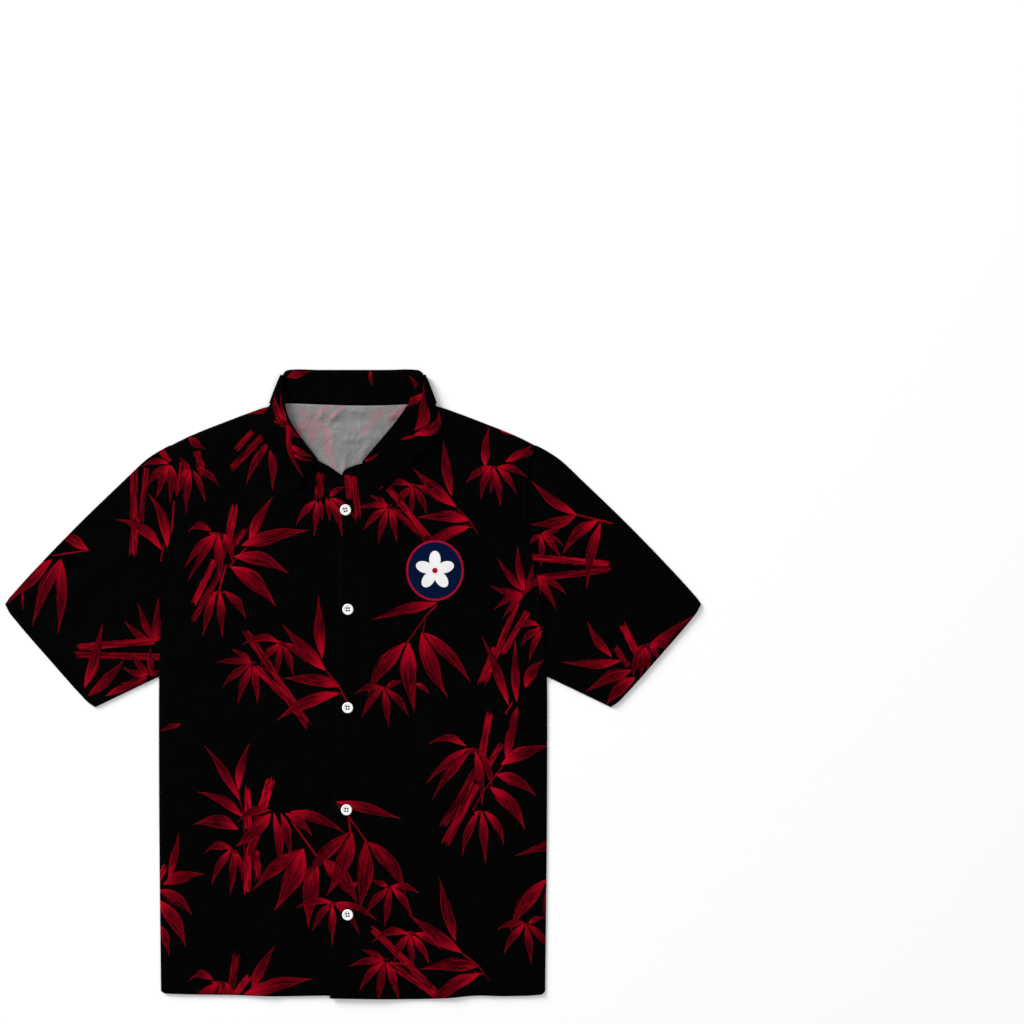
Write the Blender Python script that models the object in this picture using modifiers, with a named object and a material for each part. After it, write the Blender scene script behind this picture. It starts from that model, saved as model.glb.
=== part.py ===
"""A short-sleeved, button-front shirt with a banded collar, laid flat on its back.

The shirt lies on the plane z = 0 with its front up. +Y runs towards the collar and +X towards
the wearer's left. The origin is under the middle of the shirt. Sizes are in millimetres and are
turned into metres where a mesh is made. Each piece of cloth is a grid of points, placed by a
rule and thickened into a wall. The body's panels are the shapes that the cutter would draw, filled
with triangles and laid on the height of their layer.
"""

import math
from collections import namedtuple

import bmesh
import bpy
from mathutils import Vector
from mathutils.geometry import delaunay_2d_cdt, intersect_point_line

MM = 0.001

# ---------------------------------------------------------------- driving sizes
WALL = 1.2  # thickness of a layer of cloth
SEAM = 0.3  # space left between two pieces
LAYER = WALL + SEAM  # from the middle of one layer to the middle of the next
SEAM_IN_PLAN = 0.4  # space between two pieces that meet edge to edge

FRONT_CENTRE = -7.0  # x of the line of buttons
OVERLAP_EDGE = 16.0  # x of the under front's edge, hidden by the upper front
OVERLAP_CLEAR = 22.0  # past this x the upper front comes down to the body
OVERLAP_RAMP = 53.0  # width of that slope
EDGE_CALM = 35.0  # width of the flat border inside a seam, where folds die out
PLACKET_CALM = 60.0  # width each side of the buttons over which folds die out

LIFT_START = 340.0  # y where the back starts to rise over the collar's fall
LIFT_LENGTH = 16.0
LIFT_HALF_WIDTH = 106.0  # half width of the stretch that rises
LIFT_FADE = 18.0
LIFT_LEAD = 9.0  # the fronts start to rise this much sooner, to stay clear of the back

SLEEVE_BEND = 0.9  # radius of a sleeve's pressed edge, at the middle of its wall
SLEEVE_TURNS = 3  # steps round that edge
COLLAR_TURNS = 6  # steps round each side of the collar
ROLL_TURNS = 4  # steps over the top of the collar
FALL_STEPS = 6  # steps from there to the fall's free edge

FALL_BACK_HEIGHT = WALL / 2 + 0.06  # just clear of the ground, which its bend comes nearest to
FALL_SIDE_HEIGHT = 5.2
STAND_BACK_HEIGHT = FALL_BACK_HEIGHT + LAYER  # the band's height behind the neck, on the fall
STAND_SIDE_HEIGHT = 6.5  # the same at the sides, where the band comes forward
ROLL_SPACE = 0.65  # from the band's top edge to the fall's first bend, which leans back towards it

FRONT_MESH = 18.0  # the size of a panel's triangles
BACK_MESH = 40.0
NECK_MESH = 9.0  # the same near the neck, from this y up
NECK_MESH_START = 322.0
SHOULDER_STEPS = 7
COLLAR_FRONT_STEPS = 12  # steps along each half of the collar, from its point to the shoulder
COLLAR_BACK_STEPS = 20
SLEEVE_STEPS = 12  # from armhole to hem

BUTTON_DIAMETER = 15.0
BUTTON_THICKNESS = 2.2
BUTTON_RIM_WIDTH = 2.4
BUTTON_DISH_DEPTH = 0.55
BUTTON_ROUND = 0.5
BUTTON_HOLE_DIAMETER = 1.8
BUTTON_HOLE_SPACING = 3.5
BUTTON_SIDES = 20
BUTTON_HOLE_SIDES = 6

# ---------------------------------------------------------------- tables
Point = namedtuple("Point", "place x y")

SIDE_EDGE = [  # the wearer's left side, from hem to shoulder tip; the right one is its mirror
    Point("hem corner", 249.8, -399.5),
    Point("hip", 251.9, -200.0),
    Point("ribs", 252.5, -40.0),
    Point("underarm", 252.2, 10.4),
    Point("low armhole", 249.5, 70.0),
    Point("mid armhole", 242.0, 122.0),
    Point("chest point", 229.5, 187.0),
    Point("upper armhole", 228.0, 255.0),
    Point("shoulder tip", 236.0, 310.5),
]
UNDERARM_ROW = 3  # the row of SIDE_EDGE where the armhole starts
SIDE_STEPS = 12  # steps from hem to underarm
ARMHOLE_STEPS = 11  # steps from underarm to shoulder tip

SHOULDER = [  # from the neck point to the shoulder tip
    Point("neck point", 103.0, 362.4),
    Point("near neck", 121.0, 357.5),
    Point("middle", 172.0, 338.5),
    Point("near tip", 212.0, 322.4),
    Point("shoulder tip", 236.0, 310.5),
]

HEM_OF_UPPER_FRONT = [
    Point("front edge", -30.0, -408.9),
    Point("first dip", 55.0, -410.0),
    Point("level", 118.0, -408.9),
    Point("rise", 160.0, -405.4),
    Point("second dip", 200.0, -406.0),
    Point("turn up", 245.5, -403.9),
    Point("side", 249.8, -399.5),
]

HEM_OF_UNDER_FRONT = [
    Point("front edge", OVERLAP_EDGE, -405.0),
    Point("by the edge", -43.0, -405.4),
    Point("dip", -100.0, -406.2),
    Point("rise", -153.0, -404.6),
    Point("turn up", -243.5, -402.6),
    Point("side", -249.8, -399.5),
]

HEM_OF_BACK = [
    Point("right side", -249.8, -399.5),
    Point("right turn", -243.5, -401.6),
    Point("right", -150.0, -402.4),
    Point("middle", 0.0, -402.8),
    Point("left", 150.0, -402.4),
    Point("left turn", 243.5, -401.6),
    Point("left side", 249.8, -399.5),
]

SLEEVE_FOLD = [  # the sleeve's top edge, from the shoulder tip to the sleeve's outer corner
    Point("shoulder tip", 236.4, 310.9),
    Point("cap", 252.0, 302.6),
    Point("cap end", 270.0, 290.4),
    Point("upper arm", 297.0, 265.0),
    Point("middle", 357.0, 207.0),
    Point("near hem", 414.0, 148.0),
    Point("corner turn", 446.0, 112.5),
    Point("corner", 452.4, 103.5),
]

SLEEVE_UNDERARM = [
    Point("underarm", 252.7, 9.6),
    Point("middle", 293.0, -9.5),
    Point("corner", 335.5, -30.0),
]

SLEEVE_HEM = [
    Point("inner corner", 335.5, -30.0),
    Point("corner turn", 346.8, -21.8),
    Point("middle", 394.6, 31.4),
    Point("outer turn", 445.0, 90.2),
    Point("outer corner", 452.4, 103.5),
]

# The collar is a band (stand) with a turned-down part (fall) on it. Each row is a line across
# it: roll is where the two meet, seam is the band's sewn edge and outer is the fall's free
# edge. Heights are those of the band at the roll and of the fall at its free edge. Behind the
# neck and at the sides they are the ones named above.
CollarRow = namedtuple("CollarRow", "place roll seam outer roll_height outer_height")
CollarLine = namedtuple("CollarLine", "place roll seam outer")

COLLAR_OVER = [  # the upper front's half, from its collar point to the shoulder
    CollarRow("collar point", (13.0, 287.3), (11.0, 272.0), (43.0, 252.0), 4.9, 5.3),
    CollarRow("by the point", (26.0, 303.0), (40.0, 281.0), (62.0, 272.0), 5.2, 5.3),
    CollarRow("front", (50.7, 332.0), (72.0, 311.0), (93.0, 305.0), 5.8, 5.3),
    CollarRow("collar bone", (68.0, 355.0), (92.5, 336.0), (113.5, 330.0), 6.3, 5.2),
    CollarRow("near shoulder", (78.0, 373.0), (99.5, 351.5), (114.5, 349.0), 6.5, 5.2),
]
SIDE_OVER = CollarLine("left side", (93.2, 400.0), (103.6, 363.4), (108.6, 364.8))
COLLAR_BACK = [
    CollarLine("back left", (84.0, 406.4), (86.0, 364.2), (86.0, 361.6)),
    CollarLine("back mid left", (42.0, 406.5), (42.0, 362.4), (42.0, 360.4)),
    CollarLine("back middle", (0.0, 406.5), (0.0, 362.2), (0.0, 360.2)),
    CollarLine("back mid right", (-42.0, 406.5), (-43.0, 363.4), (-44.0, 360.8)),
    CollarLine("back right", (-84.0, 406.4), (-86.0, 364.8), (-87.0, 362.0)),
]
SIDE_UNDER = CollarLine("right side", (-93.2, 400.0), (-103.2, 363.6), (-108.6, 365.0))
COLLAR_UNDER = [
    CollarRow("near shoulder", (-91.0, 372.0), (-102.0, 350.0), (-116.0, 349.0), 6.5, 5.2),
    CollarRow("collar bone", (-85.5, 347.0), (-99.5, 331.0), (-121.5, 329.0), 6.0, 5.2),
    CollarRow("front", (-75.0, 328.0), (-91.0, 309.0), (-109.0, 306.0), 5.2, 4.9),
    CollarRow("by the point", (-61.0, 309.0), (-73.0, 288.5), (-92.0, 282.0), 4.2, 4.6),
    CollarRow("collar point", (-47.2, 291.2), (-48.6, 276.0), (-71.5, 252.0), 3.2, 4.2),
]

BandEnd = namedtuple("BandEnd", "place top seam height")

BAND_END_OVER = [  # the rounded end of the band on the upper front, which shows
    BandEnd("tip", (-14.0, 273.0), (-14.2, 271.9), 3.6),
    BandEnd("round", (-12.6, 276.2), (-11.6, 271.9), 3.7),
    BandEnd("shoulder of the round", (-7.4, 280.6), (-6.4, 271.9), 3.9),
    BandEnd("top edge", (2.0, 284.3), (1.0, 271.9), 4.3),
]
BAND_END_UNDER = [  # the end that lies under the other
    BandEnd("top edge", (-31.2, 283.4), (-31.0, 271.0), 2.6),
    BandEnd("crossing", (-14.8, 271.6), (-16.0, 265.5), 2.1),
    BandEnd("round", (-5.0, 267.0), (-7.0, 262.8), 2.1),
    BandEnd("tip", (0.0, 263.4), (-1.0, 261.4), 2.1),
]
UNDER_EDGE = [(OVERLAP_EDGE, -405.0), (OVERLAP_EDGE, 259.5)]  # the under front's free edge
UPPER_EDGE = [(-30.0, -408.9), (-24.0, -100.0), (-15.2, 271.5)]  # the upper front's

Button = namedtuple("Button", "x y turn")
BUTTONS = [
    Button(-9.6, 226.3, 15.0),
    Button(-6.5, 97.1, 4.0),
    Button(-6.8, -30.7, 2.0),
    Button(-8.3, -163.4, -3.0),
    Button(-6.8, -299.8, 5.0),
]

# Soft ridges in the upper layer of the body and sleeves; turn is the ridge's direction in degrees.
Fold = namedtuple("Fold", "place x y turn length width height")
FOLDS = [
    Fold("left underarm drag", 182.0, 18.0, 38.0, 120.0, 17.0, 1.7),
    Fold("left side sweep", 196.0, -150.0, 84.0, 190.0, 21.0, 1.5),
    Fold("left hem wave", 118.0, -330.0, 96.0, 130.0, 24.0, 1.7),
    Fold("left chest slope", 128.0, 170.0, 118.0, 120.0, 23.0, 1.2),
    Fold("left waist", 92.0, -120.0, 78.0, 150.0, 20.0, 1.1),
    Fold("right underarm drag", -180.0, 26.0, 141.0, 130.0, 18.0, 1.8),
    Fold("right side sweep", -192.0, -190.0, 94.0, 170.0, 22.0, 1.4),
    Fold("right hem wave", -96.0, -320.0, 83.0, 150.0, 22.0, 1.6),
    Fold("right chest slope", -134.0, 160.0, 64.0, 130.0, 21.0, 1.3),
    Fold("right waist", -84.0, -96.0, 104.0, 130.0, 19.0, 1.0),
    Fold("left sleeve crease", 318.0, 142.0, -38.0, 100.0, 15.0, 1.9),
    Fold("left sleeve lower crease", 300.0, 66.0, -24.0, 80.0, 13.0, 1.5),
    Fold("right sleeve crease", -324.0, 150.0, 216.0, 110.0, 15.0, 1.8),
    Fold("right sleeve lower crease", -296.0, 62.0, 202.0, 76.0, 14.0, 1.6),
]

CLOTH_COLOUR = (0.006, 0.005, 0.006, 1.0)
LEAF_COLOUR = (0.16, 0.004, 0.014, 1.0)
BUTTON_COLOUR = (0.82, 0.82, 0.80, 1.0)


# ---------------------------------------------------------------- curves
def ease(share):
    """Runs smoothly from 0 to 1 as share does, and stays there outside that range."""
    share = min(max(share, 0.0), 1.0)
    return share * share * (3.0 - 2.0 * share)


class Curve:
    """A smooth curve through points. Called with 0 to 1, it gives the point that far along."""

    def __init__(self, points):
        self.points = [Vector(point) for point in points]
        steps = [(b - a).length for a, b in zip(self.points, self.points[1:])]
        self.marks = [sum(steps[:i]) / sum(steps) for i in range(len(self.points))]

    def slope(self, i):
        before = max(i - 1, 0)
        after = min(i + 1, len(self.points) - 1)
        run = self.marks[after] - self.marks[before]
        return (self.points[after] - self.points[before]) / run

    def __call__(self, share):
        last = len(self.points) - 2
        i = max(k for k in range(last + 1) if self.marks[k] <= share or k == 0)
        run = self.marks[i + 1] - self.marks[i]
        s = (share - self.marks[i]) / run
        start, end = self.points[i], self.points[i + 1]
        return (
            start * (2 * s**3 - 3 * s**2 + 1)
            + self.slope(i) * run * (s**3 - 2 * s**2 + s)
            + end * (3 * s**2 - 2 * s**3)
            + self.slope(i + 1) * run * (s**3 - s**2)
        )


class Steps:
    """Straight steps from point to point, each as long a share of the whole as the next."""

    def __init__(self, points):
        self.points = [Vector(point) for point in points]

    def __call__(self, share):
        place = min(max(share, 0.0), 1.0) * (len(self.points) - 1)
        i = min(int(place), len(self.points) - 2)
        return self.points[i].lerp(self.points[i + 1], place - i)


def outline(rows, side=1.0):
    """The plan points of a table's rows, mirrored where side is -1."""
    return [(side * row.x, row.y) for row in rows]


def stepped(curve, steps, side=1.0):
    """Points at even steps along a curve, mirrored where side is -1."""
    points = [curve(i / steps) for i in range(steps + 1)]
    return [Vector((side * point.x, point.y)) for point in points]


def directions(points):
    """The direction of a run of points at each of them."""
    last = len(points) - 1
    return [(points[min(i + 1, last)] - points[max(i - 1, 0)]).normalized() for i in range(last + 1)]


def patch(bottom, top, left, right):
    """A rule that spreads a grid between four borders, so that its edges lie on them."""

    def place(u, v):
        across = bottom(u).lerp(top(u), v)
        upward = left(v).lerp(right(v), u)
        corners = bottom(0.0).lerp(bottom(1.0), u).lerp(top(0.0).lerp(top(1.0), u), v)
        return across + upward - corners

    return place


SIDE_SEAM = stepped(Curve(outline(SIDE_EDGE[: UNDERARM_ROW + 1])), SIDE_STEPS)
ARMHOLE = stepped(Curve(outline(SIDE_EDGE[UNDERARM_ROW:])), ARMHOLE_STEPS)
SHOULDER_CURVE = Curve(outline(SHOULDER))
SIDE_BORDER = SIDE_SEAM + ARMHOLE[1:]
SHOULDER_BORDER = stepped(SHOULDER_CURVE, 20)


def read_off(points, along, across, value):
    """Reads a border as a graph: its coordinate across, where its coordinate along is value."""
    ordered = sorted(points, key=lambda point: point[along])
    for a, b in zip(ordered, ordered[1:]):
        if value <= b[along]:
            share = (value - a[along]) / max(b[along] - a[along], 1e-9)
            return a[across] + (b[across] - a[across]) * min(max(share, 0.0), 1.0)
    return ordered[-1][across]


# ---------------------------------------------------------------- heights of the layers
def calm(x, y):
    """1 well inside a body panel and 0 at its seams."""
    if abs(x) >= SIDE_EDGE[-1].x and y > SIDE_EDGE[UNDERARM_ROW].y:
        return 0.0
    inside = read_off(SIDE_BORDER, 1, 0, y) - abs(x)
    below = read_off(SHOULDER_BORDER, 0, 1, abs(x)) - y
    placket = ease(abs(x - FRONT_CENTRE) / PLACKET_CALM)
    collar = 1.0 - ease((y - 200.0) / 60.0) * (1.0 - ease((abs(x) - 125.0) / 40.0))
    return ease(inside / EDGE_CALM) * ease(below / EDGE_CALM) * placket * collar


def ridges(x, y):
    """The height that the folds add at a point."""
    total = 0.0
    for fold in FOLDS:
        turn = math.radians(fold.turn)
        along = (x - fold.x) * math.cos(turn) + (y - fold.y) * math.sin(turn)
        across = (y - fold.y) * math.cos(turn) - (x - fold.x) * math.sin(turn)
        total += fold.height * math.exp(-((along / fold.length) ** 2) * 2 - (across / fold.width) ** 2)
    return min(total, 2.1)


def lift(x, y, lead=0.0):
    """How far the back is raised near the neck, where the collar's fall lies under it."""
    rise = ease((y + lead - LIFT_START) / LIFT_LENGTH)
    return LAYER * rise * (1.0 - ease((abs(x) - lead - LIFT_HALF_WIDTH) / LIFT_FADE))


def back_height(x, y):
    return WALL / 2 + lift(x, y)


def under_front_height(x, y):
    return WALL / 2 + LAYER + lift(x, y, LIFT_LEAD) + ridges(x, y) * calm(x, y)


def upper_front_height(x, y):
    overlap = LAYER * (1.0 - ease((x - OVERLAP_CLEAR) / OVERLAP_RAMP))
    return under_front_height(x, y) + overlap


# ---------------------------------------------------------------- meshes
def material(name, colour, roughness):
    surface = bpy.data.materials.new(name)
    surface.use_nodes = True
    shader = surface.node_tree.nodes["Principled BSDF"]
    shader.inputs["Base Color"].default_value = colour
    shader.inputs["Roughness"].default_value = roughness
    shader.inputs["Metallic"].default_value = 0.0
    surface.diffuse_color = colour
    return surface


def cloth(name, columns, rows, place, surface, home):
    """Thickens a grid of columns by rows, whose points place(u, v) sets, into a wall of cloth."""
    shape = bmesh.new()
    bmesh.ops.create_grid(shape, x_segments=columns, y_segments=rows, size=0.5)
    for vert in shape.verts:
        vert.co = Vector(place(vert.co.x + 0.5, vert.co.y + 0.5)) * MM
    bmesh.ops.remove_doubles(shape, verts=shape.verts, dist=0.01 * MM)
    return wall_of_cloth(name, shape, surface, home)


def wall_of_cloth(name, shape, surface, home):
    """Makes a piece from its middle surface, which is thickened to both sides."""
    mesh = bpy.data.meshes.new(name)
    shape.to_mesh(mesh)
    shape.free()
    mesh.shade_smooth()
    mesh.materials.append(surface)
    piece = bpy.data.objects.new(name, mesh)
    home.objects.link(piece)
    wall = piece.modifiers.new("Wall", "SOLIDIFY")
    wall.thickness = WALL * MM
    wall.offset = 0.0
    return piece


# ---------------------------------------------------------------- body panels
def below_band(lines):
    """A panel's neck line: the band's sewn edge, moved off it by the seam's space."""
    edge = [seam.xy for top, seam in lines]
    points = []
    for (top, seam), along in zip(lines, directions(edge)):
        away = Vector((along.y, -along.x))
        away *= math.copysign(SEAM_IN_PLAN, away.dot((seam - top).xy))
        points.append(seam.xy + away)
    return points


def mirrored(points, side):
    return [Vector((side * point[0], point[1])) for point in points]


def in_steps_of(length, points):
    """Points on the smooth curve through other points, in steps of about this length."""
    curve = Curve([Vector(point) for point in points])
    whole = sum((b - a).length for a, b in zip(curve.points, curve.points[1:]))
    return stepped(curve, max(round(whole / length), 1))


def loop(*runs):
    """One closed border through several runs of points, each starting at the last one's end."""
    points = []
    for run in runs:
        points += run[:-1]
    return points


def space_to(border, point):
    """How far a point is from a closed border."""
    gaps = []
    for a, b in zip(border, border[1:] + border[:1]):
        share = intersect_point_line(point, a, b)[1]
        gaps.append((point - a.lerp(b, min(max(share, 0.0), 1.0))).length)
    return min(gaps)


def lattice(border, size):
    """Points spread evenly over a border's box, in rows that are closer near the neck."""
    low_x, high_x = min(point.x for point in border), max(point.x for point in border)
    y, high_y = min(point.y for point in border), max(point.y for point in border)
    points = []
    row = 0
    while y < high_y:
        step = NECK_MESH if y > NECK_MESH_START else size
        y += step * 0.87
        row += 1
        for column in range(math.floor(low_x / step), math.ceil(high_x / step) + 1):
            point = Vector((step * (column + row % 2 / 2), y))
            if space_to(border, point) > step * 0.45:
                points.append(point)
    return points


INSIDE_ONLY = 1  # keeps the triangles inside the border


def panel(name, border, size, height, surface, home):
    """Fills a closed border with triangles of about this size, at the height of its layer."""
    count = len(border)
    edges = [(i, (i + 1) % count) for i in range(count)]
    points = border + lattice(border, size)
    points, edges, faces, *sources = delaunay_2d_cdt(points, edges, [], INSIDE_ONLY, 1e-6)
    shape = bmesh.new()
    verts = [shape.verts.new(Vector((*point, height(*point))) * MM) for point in points]
    for face in faces:
        shape.faces.new([verts[i] for i in face])
    bmesh.ops.delete(shape, geom=[v for v in verts if not v.link_faces], context="VERTS")
    return wall_of_cloth(name, shape, surface, home)


def back_panel(run, surface, home):
    shoulder = stepped(SHOULDER_CURVE, SHOULDER_STEPS)
    neck = [shoulder[0]] + below_band(run) + mirrored(shoulder[:1], -1.0)
    border = loop(
        in_steps_of(BACK_MESH, outline(HEM_OF_BACK)),
        SIDE_BORDER,
        list(reversed(shoulder)),
        neck,
        mirrored(shoulder, -1.0),
        list(reversed(mirrored(SIDE_BORDER, -1.0))),
    )
    return panel("back", border, BACK_MESH, back_height, surface, home)


def upper_front(run, surface, home):
    shoulder = stepped(SHOULDER_CURVE, SHOULDER_STEPS)
    edge = in_steps_of(FRONT_MESH, UPPER_EDGE)
    border = loop(
        in_steps_of(FRONT_MESH, outline(HEM_OF_UPPER_FRONT)),
        SIDE_BORDER,
        list(reversed(shoulder)),
        [shoulder[0]] + list(reversed(below_band(run))) + edge[-1:],
        list(reversed(edge)),
    )
    return panel("front_left", border, FRONT_MESH, upper_front_height, surface, home)


def under_front(run, surface, home):
    shoulder = mirrored(stepped(SHOULDER_CURVE, SHOULDER_STEPS), -1.0)
    edge = in_steps_of(FRONT_MESH, UNDER_EDGE)
    border = loop(
        edge,
        edge[-1:] + list(reversed(below_band(run))) + shoulder[:1],
        shoulder,
        list(reversed(mirrored(SIDE_BORDER, -1.0))),
        list(reversed(in_steps_of(FRONT_MESH, outline(HEM_OF_UNDER_FRONT)))),
    )
    return panel("front_right", border, FRONT_MESH, under_front_height, surface, home)


# ---------------------------------------------------------------- sleeves
def sleeve(name, side, surface, home):
    """A tube pressed flat, with its fold along the top and its seam at the underarm."""
    away = [Vector((along.y, -along.x)) for along in directions(ARMHOLE)]
    armhole = [point + aside * SEAM_IN_PLAN for point, aside in zip(ARMHOLE, away)]
    fold = [armhole[-1]] + outline(SLEEVE_FOLD[1:])
    underarm = [armhole[0]] + outline(SLEEVE_UNDERARM[1:])
    place = patch(Curve(underarm), Curve(fold), Steps(armhole), Curve(outline(SLEEVE_HEM)))
    layer_steps = ARMHOLE_STEPS
    steps = 2 * layer_steps + 2 * SLEEVE_TURNS
    middle = WALL / 2 + SLEEVE_BEND
    inset = SLEEVE_BEND + WALL / 2

    def across(u, share):
        """The plan point at a share of the way across, inside the two pressed edges."""
        low, high = place(u, 0.0), place(u, 1.0)
        margin = inset / (high - low).length
        return place(u, margin + share * (1.0 - 2.0 * margin))

    def lay(u, v):
        step = round(v * steps)
        if step <= layer_steps:  # the upper layer, from the underarm to the fold
            share = step / layer_steps
            point = across(u, share)
            puff = ridges(side * point.x, point.y) * ease(share * 5) * ease((1.0 - share) * 5)
            puff *= ease(u * 6)
            return side * point.x, point.y, middle + SLEEVE_BEND + puff
        if step < layer_steps + SLEEVE_TURNS:  # round the fold
            end, inner = across(u, 1.0), across(u, 0.97)
            turn = math.pi / 2 - math.pi * (step - layer_steps) / SLEEVE_TURNS
        elif step <= 2 * layer_steps + SLEEVE_TURNS:  # the lower layer, back to the underarm
            share = (2 * layer_steps + SLEEVE_TURNS - step) / layer_steps
            point = across(u, share)
            return side * point.x, point.y, middle - SLEEVE_BEND
        else:  # round the underarm
            end, inner = across(u, 0.0), across(u, 0.03)
            turn = -math.pi / 2 + math.pi * (step - 2 * layer_steps - SLEEVE_TURNS) / SLEEVE_TURNS
        outward = (end - inner).normalized()
        point = end + outward * SLEEVE_BEND * math.cos(turn)
        return side * point.x, point.y, middle + SLEEVE_BEND * math.sin(turn)

    return cloth(name, SLEEVE_STEPS, steps, lay, surface, home)


# ---------------------------------------------------------------- collar
# A station is one line across the finished collar, in space.
Station = namedtuple("Station", "roll seam outer normal")


def front_station(row, height):
    x, y = row.seam
    return Station(
        Vector((*row.roll, row.roll_height)),
        Vector((x, y, height(x, y))),
        Vector((*row.outer, row.outer_height)),
        Vector((0.0, 0.0, 1.0)),
    )


def back_station(row):
    x, y = row.seam
    return Station(
        Vector((*row.roll, STAND_BACK_HEIGHT)),
        Vector((x, y, back_height(x, y))),
        Vector((*row.outer, FALL_BACK_HEIGHT)),
        Vector((0.0, 0.0, -1.0)),
    )


def side_stations(row, side):
    """The stations round one side of the collar, from its front layer down to its back one."""
    along = (Vector(row.outer) - Vector(row.roll)).normalized()
    outward = Vector((-along.y * side, along.x * side, 0.0))
    up = Vector((0.0, 0.0, 1.0))
    front_seam = WALL / 2 + 2 * LAYER
    stations = []
    for step in range(COLLAR_TURNS + 1):
        turn = math.pi / 2 - math.pi * step / COLLAR_TURNS

        def swing(point, upper, lower):
            middle, radius = (upper + lower) / 2, (upper - lower) / 2
            place = Vector((*point, middle)) + outward * radius * (math.cos(turn) - 1.0)
            return place + up * radius * math.sin(turn)

        stations.append(
            Station(
                swing(row.roll, STAND_SIDE_HEIGHT, STAND_BACK_HEIGHT),
                swing(row.seam, front_seam, STAND_BACK_HEIGHT),
                swing(row.outer, FALL_SIDE_HEIGHT, FALL_BACK_HEIGHT),
                outward * math.cos(turn) + up * math.sin(turn),
            )
        )
    return stations


def spread(stations, count):
    """Smooths a run of stations into count steps."""
    curve = Curve([[value for line in station for value in line] for station in stations])
    run = []
    for step in range(count + 1):
        numbers = curve(step / count)
        roll, seam, outer, normal = (Vector(numbers[i : i + 3]) for i in (0, 3, 6, 9))
        run.append(Station(roll, seam, outer, normal.normalized()))
    return run


def collar_runs():
    """The collar's stations in five runs: front, side, back, side, front."""
    over = [front_station(row, upper_front_height) for row in COLLAR_OVER]
    left = side_stations(SIDE_OVER, 1.0)
    back = [back_station(row) for row in COLLAR_BACK]
    right = list(reversed(side_stations(SIDE_UNDER, -1.0)))
    under = [front_station(row, under_front_height) for row in COLLAR_UNDER]
    return [
        spread(over + left[:1], COLLAR_FRONT_STEPS)[:-1],
        left,
        spread(left[-1:] + back + right[:1], COLLAR_BACK_STEPS)[1:-1],
        right,
        spread(right[-1:] + under, COLLAR_FRONT_STEPS)[1:],
    ]


def band_lines(run):
    """The lines across the band, top and seam, at a run of stations."""
    return [(station.roll, station.seam) for station in run]


def band_end(rows, height):
    """The lines across an end of the band, past the collar point."""
    return [
        (Vector((*row.top, row.height)), Vector((*row.seam, height(*row.seam)))) for row in rows
    ]


def collar_stand(lines, surface, home):
    """The band: from its seam up to the roll."""

    def lay(u, v):
        top, seam = lines[round(u * (len(lines) - 1))]
        return seam.lerp(top, v)

    return cloth("collar_stand", len(lines) - 1, 3, lay, surface, home)


def collar_fall(run, surface, home):
    """The fall: it starts just past the band's top edge, rolls over it and comes down outside."""
    steps = ROLL_TURNS + FALL_STEPS
    radius = LAYER / 2
    upward = []
    for station, along in zip(run, directions([station.roll for station in run])):
        across = station.normal.cross(along).normalized()
        upward.append(across * math.copysign(1.0, across.dot(station.roll - station.seam)))

    def lay(u, v):
        place = round(u * (len(run) - 1))
        station, up = run[place], upward[place]
        start = station.roll + up * ROLL_SPACE
        step = round(v * steps)
        if step > ROLL_TURNS:
            top = start + station.normal * LAYER
            return top.lerp(station.outer, (step - ROLL_TURNS) / FALL_STEPS)
        turn = math.pi * step / ROLL_TURNS
        lift_off = station.normal * radius * (1.0 - math.cos(turn))
        return start + lift_off + up * radius * math.sin(turn)

    return cloth("collar_fall", len(run) - 1, steps, lay, surface, home)


# ---------------------------------------------------------------- buttons
def button_mesh(surface, home, shop):
    """A turned disc with a raised rim, drilled with four thread holes."""
    radius = BUTTON_DIAMETER / 2
    floor = BUTTON_THICKNESS - BUTTON_DISH_DEPTH
    profile = [
        (0.0, floor),
        (radius - BUTTON_RIM_WIDTH, floor),
        (radius - BUTTON_RIM_WIDTH * 0.6, BUTTON_THICKNESS),
        (radius - BUTTON_ROUND, BUTTON_THICKNESS),
        (radius, BUTTON_THICKNESS - BUTTON_ROUND),
        (radius, BUTTON_ROUND),
        (radius - BUTTON_ROUND, 0.0),
        (0.0, 0.0),
    ]
    mesh = bpy.data.meshes.new("button profile")
    points = [(x * MM, 0.0, z * MM) for x, z in profile]
    mesh.from_pydata(points, [(i, i + 1) for i in range(len(points) - 1)], [])
    blank = bpy.data.objects.new("button blank", mesh)
    home.objects.link(blank)
    turned = blank.modifiers.new("Turned", "SCREW")
    turned.steps = BUTTON_SIDES
    turned.render_steps = BUTTON_SIDES
    turned.use_merge_vertices = True
    turned.merge_threshold = 0.01 * MM

    drill_mesh = bpy.data.meshes.new("button drill")
    shape = bmesh.new()
    for x in (-0.5, 0.5):
        for y in (-0.5, 0.5):
            made = bmesh.ops.create_cone(
                shape,
                cap_ends=True,
                segments=BUTTON_HOLE_SIDES,
                radius1=BUTTON_HOLE_DIAMETER / 2 * MM,
                radius2=BUTTON_HOLE_DIAMETER / 2 * MM,
                depth=3 * BUTTON_THICKNESS * MM,
            )
            centre = Vector((x, y, 0.0)) * BUTTON_HOLE_SPACING * MM
            bmesh.ops.translate(shape, verts=made["verts"], vec=centre)
    shape.to_mesh(drill_mesh)
    shape.free()
    drill = bpy.data.objects.new("button drill", drill_mesh)
    drill.hide_render = True
    drill.display_type = "WIRE"
    shop.objects.link(drill)
    holes = blank.modifiers.new("Holes", "BOOLEAN")
    holes.operation = "DIFFERENCE"
    holes.object = drill

    bpy.context.view_layer.update()
    made = blank.evaluated_get(bpy.context.evaluated_depsgraph_get())
    finished = bpy.data.meshes.new_from_object(made)
    finished.materials.clear()
    finished.materials.append(surface)
    bpy.data.objects.remove(blank)
    bpy.data.objects.remove(drill)
    return finished


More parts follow.
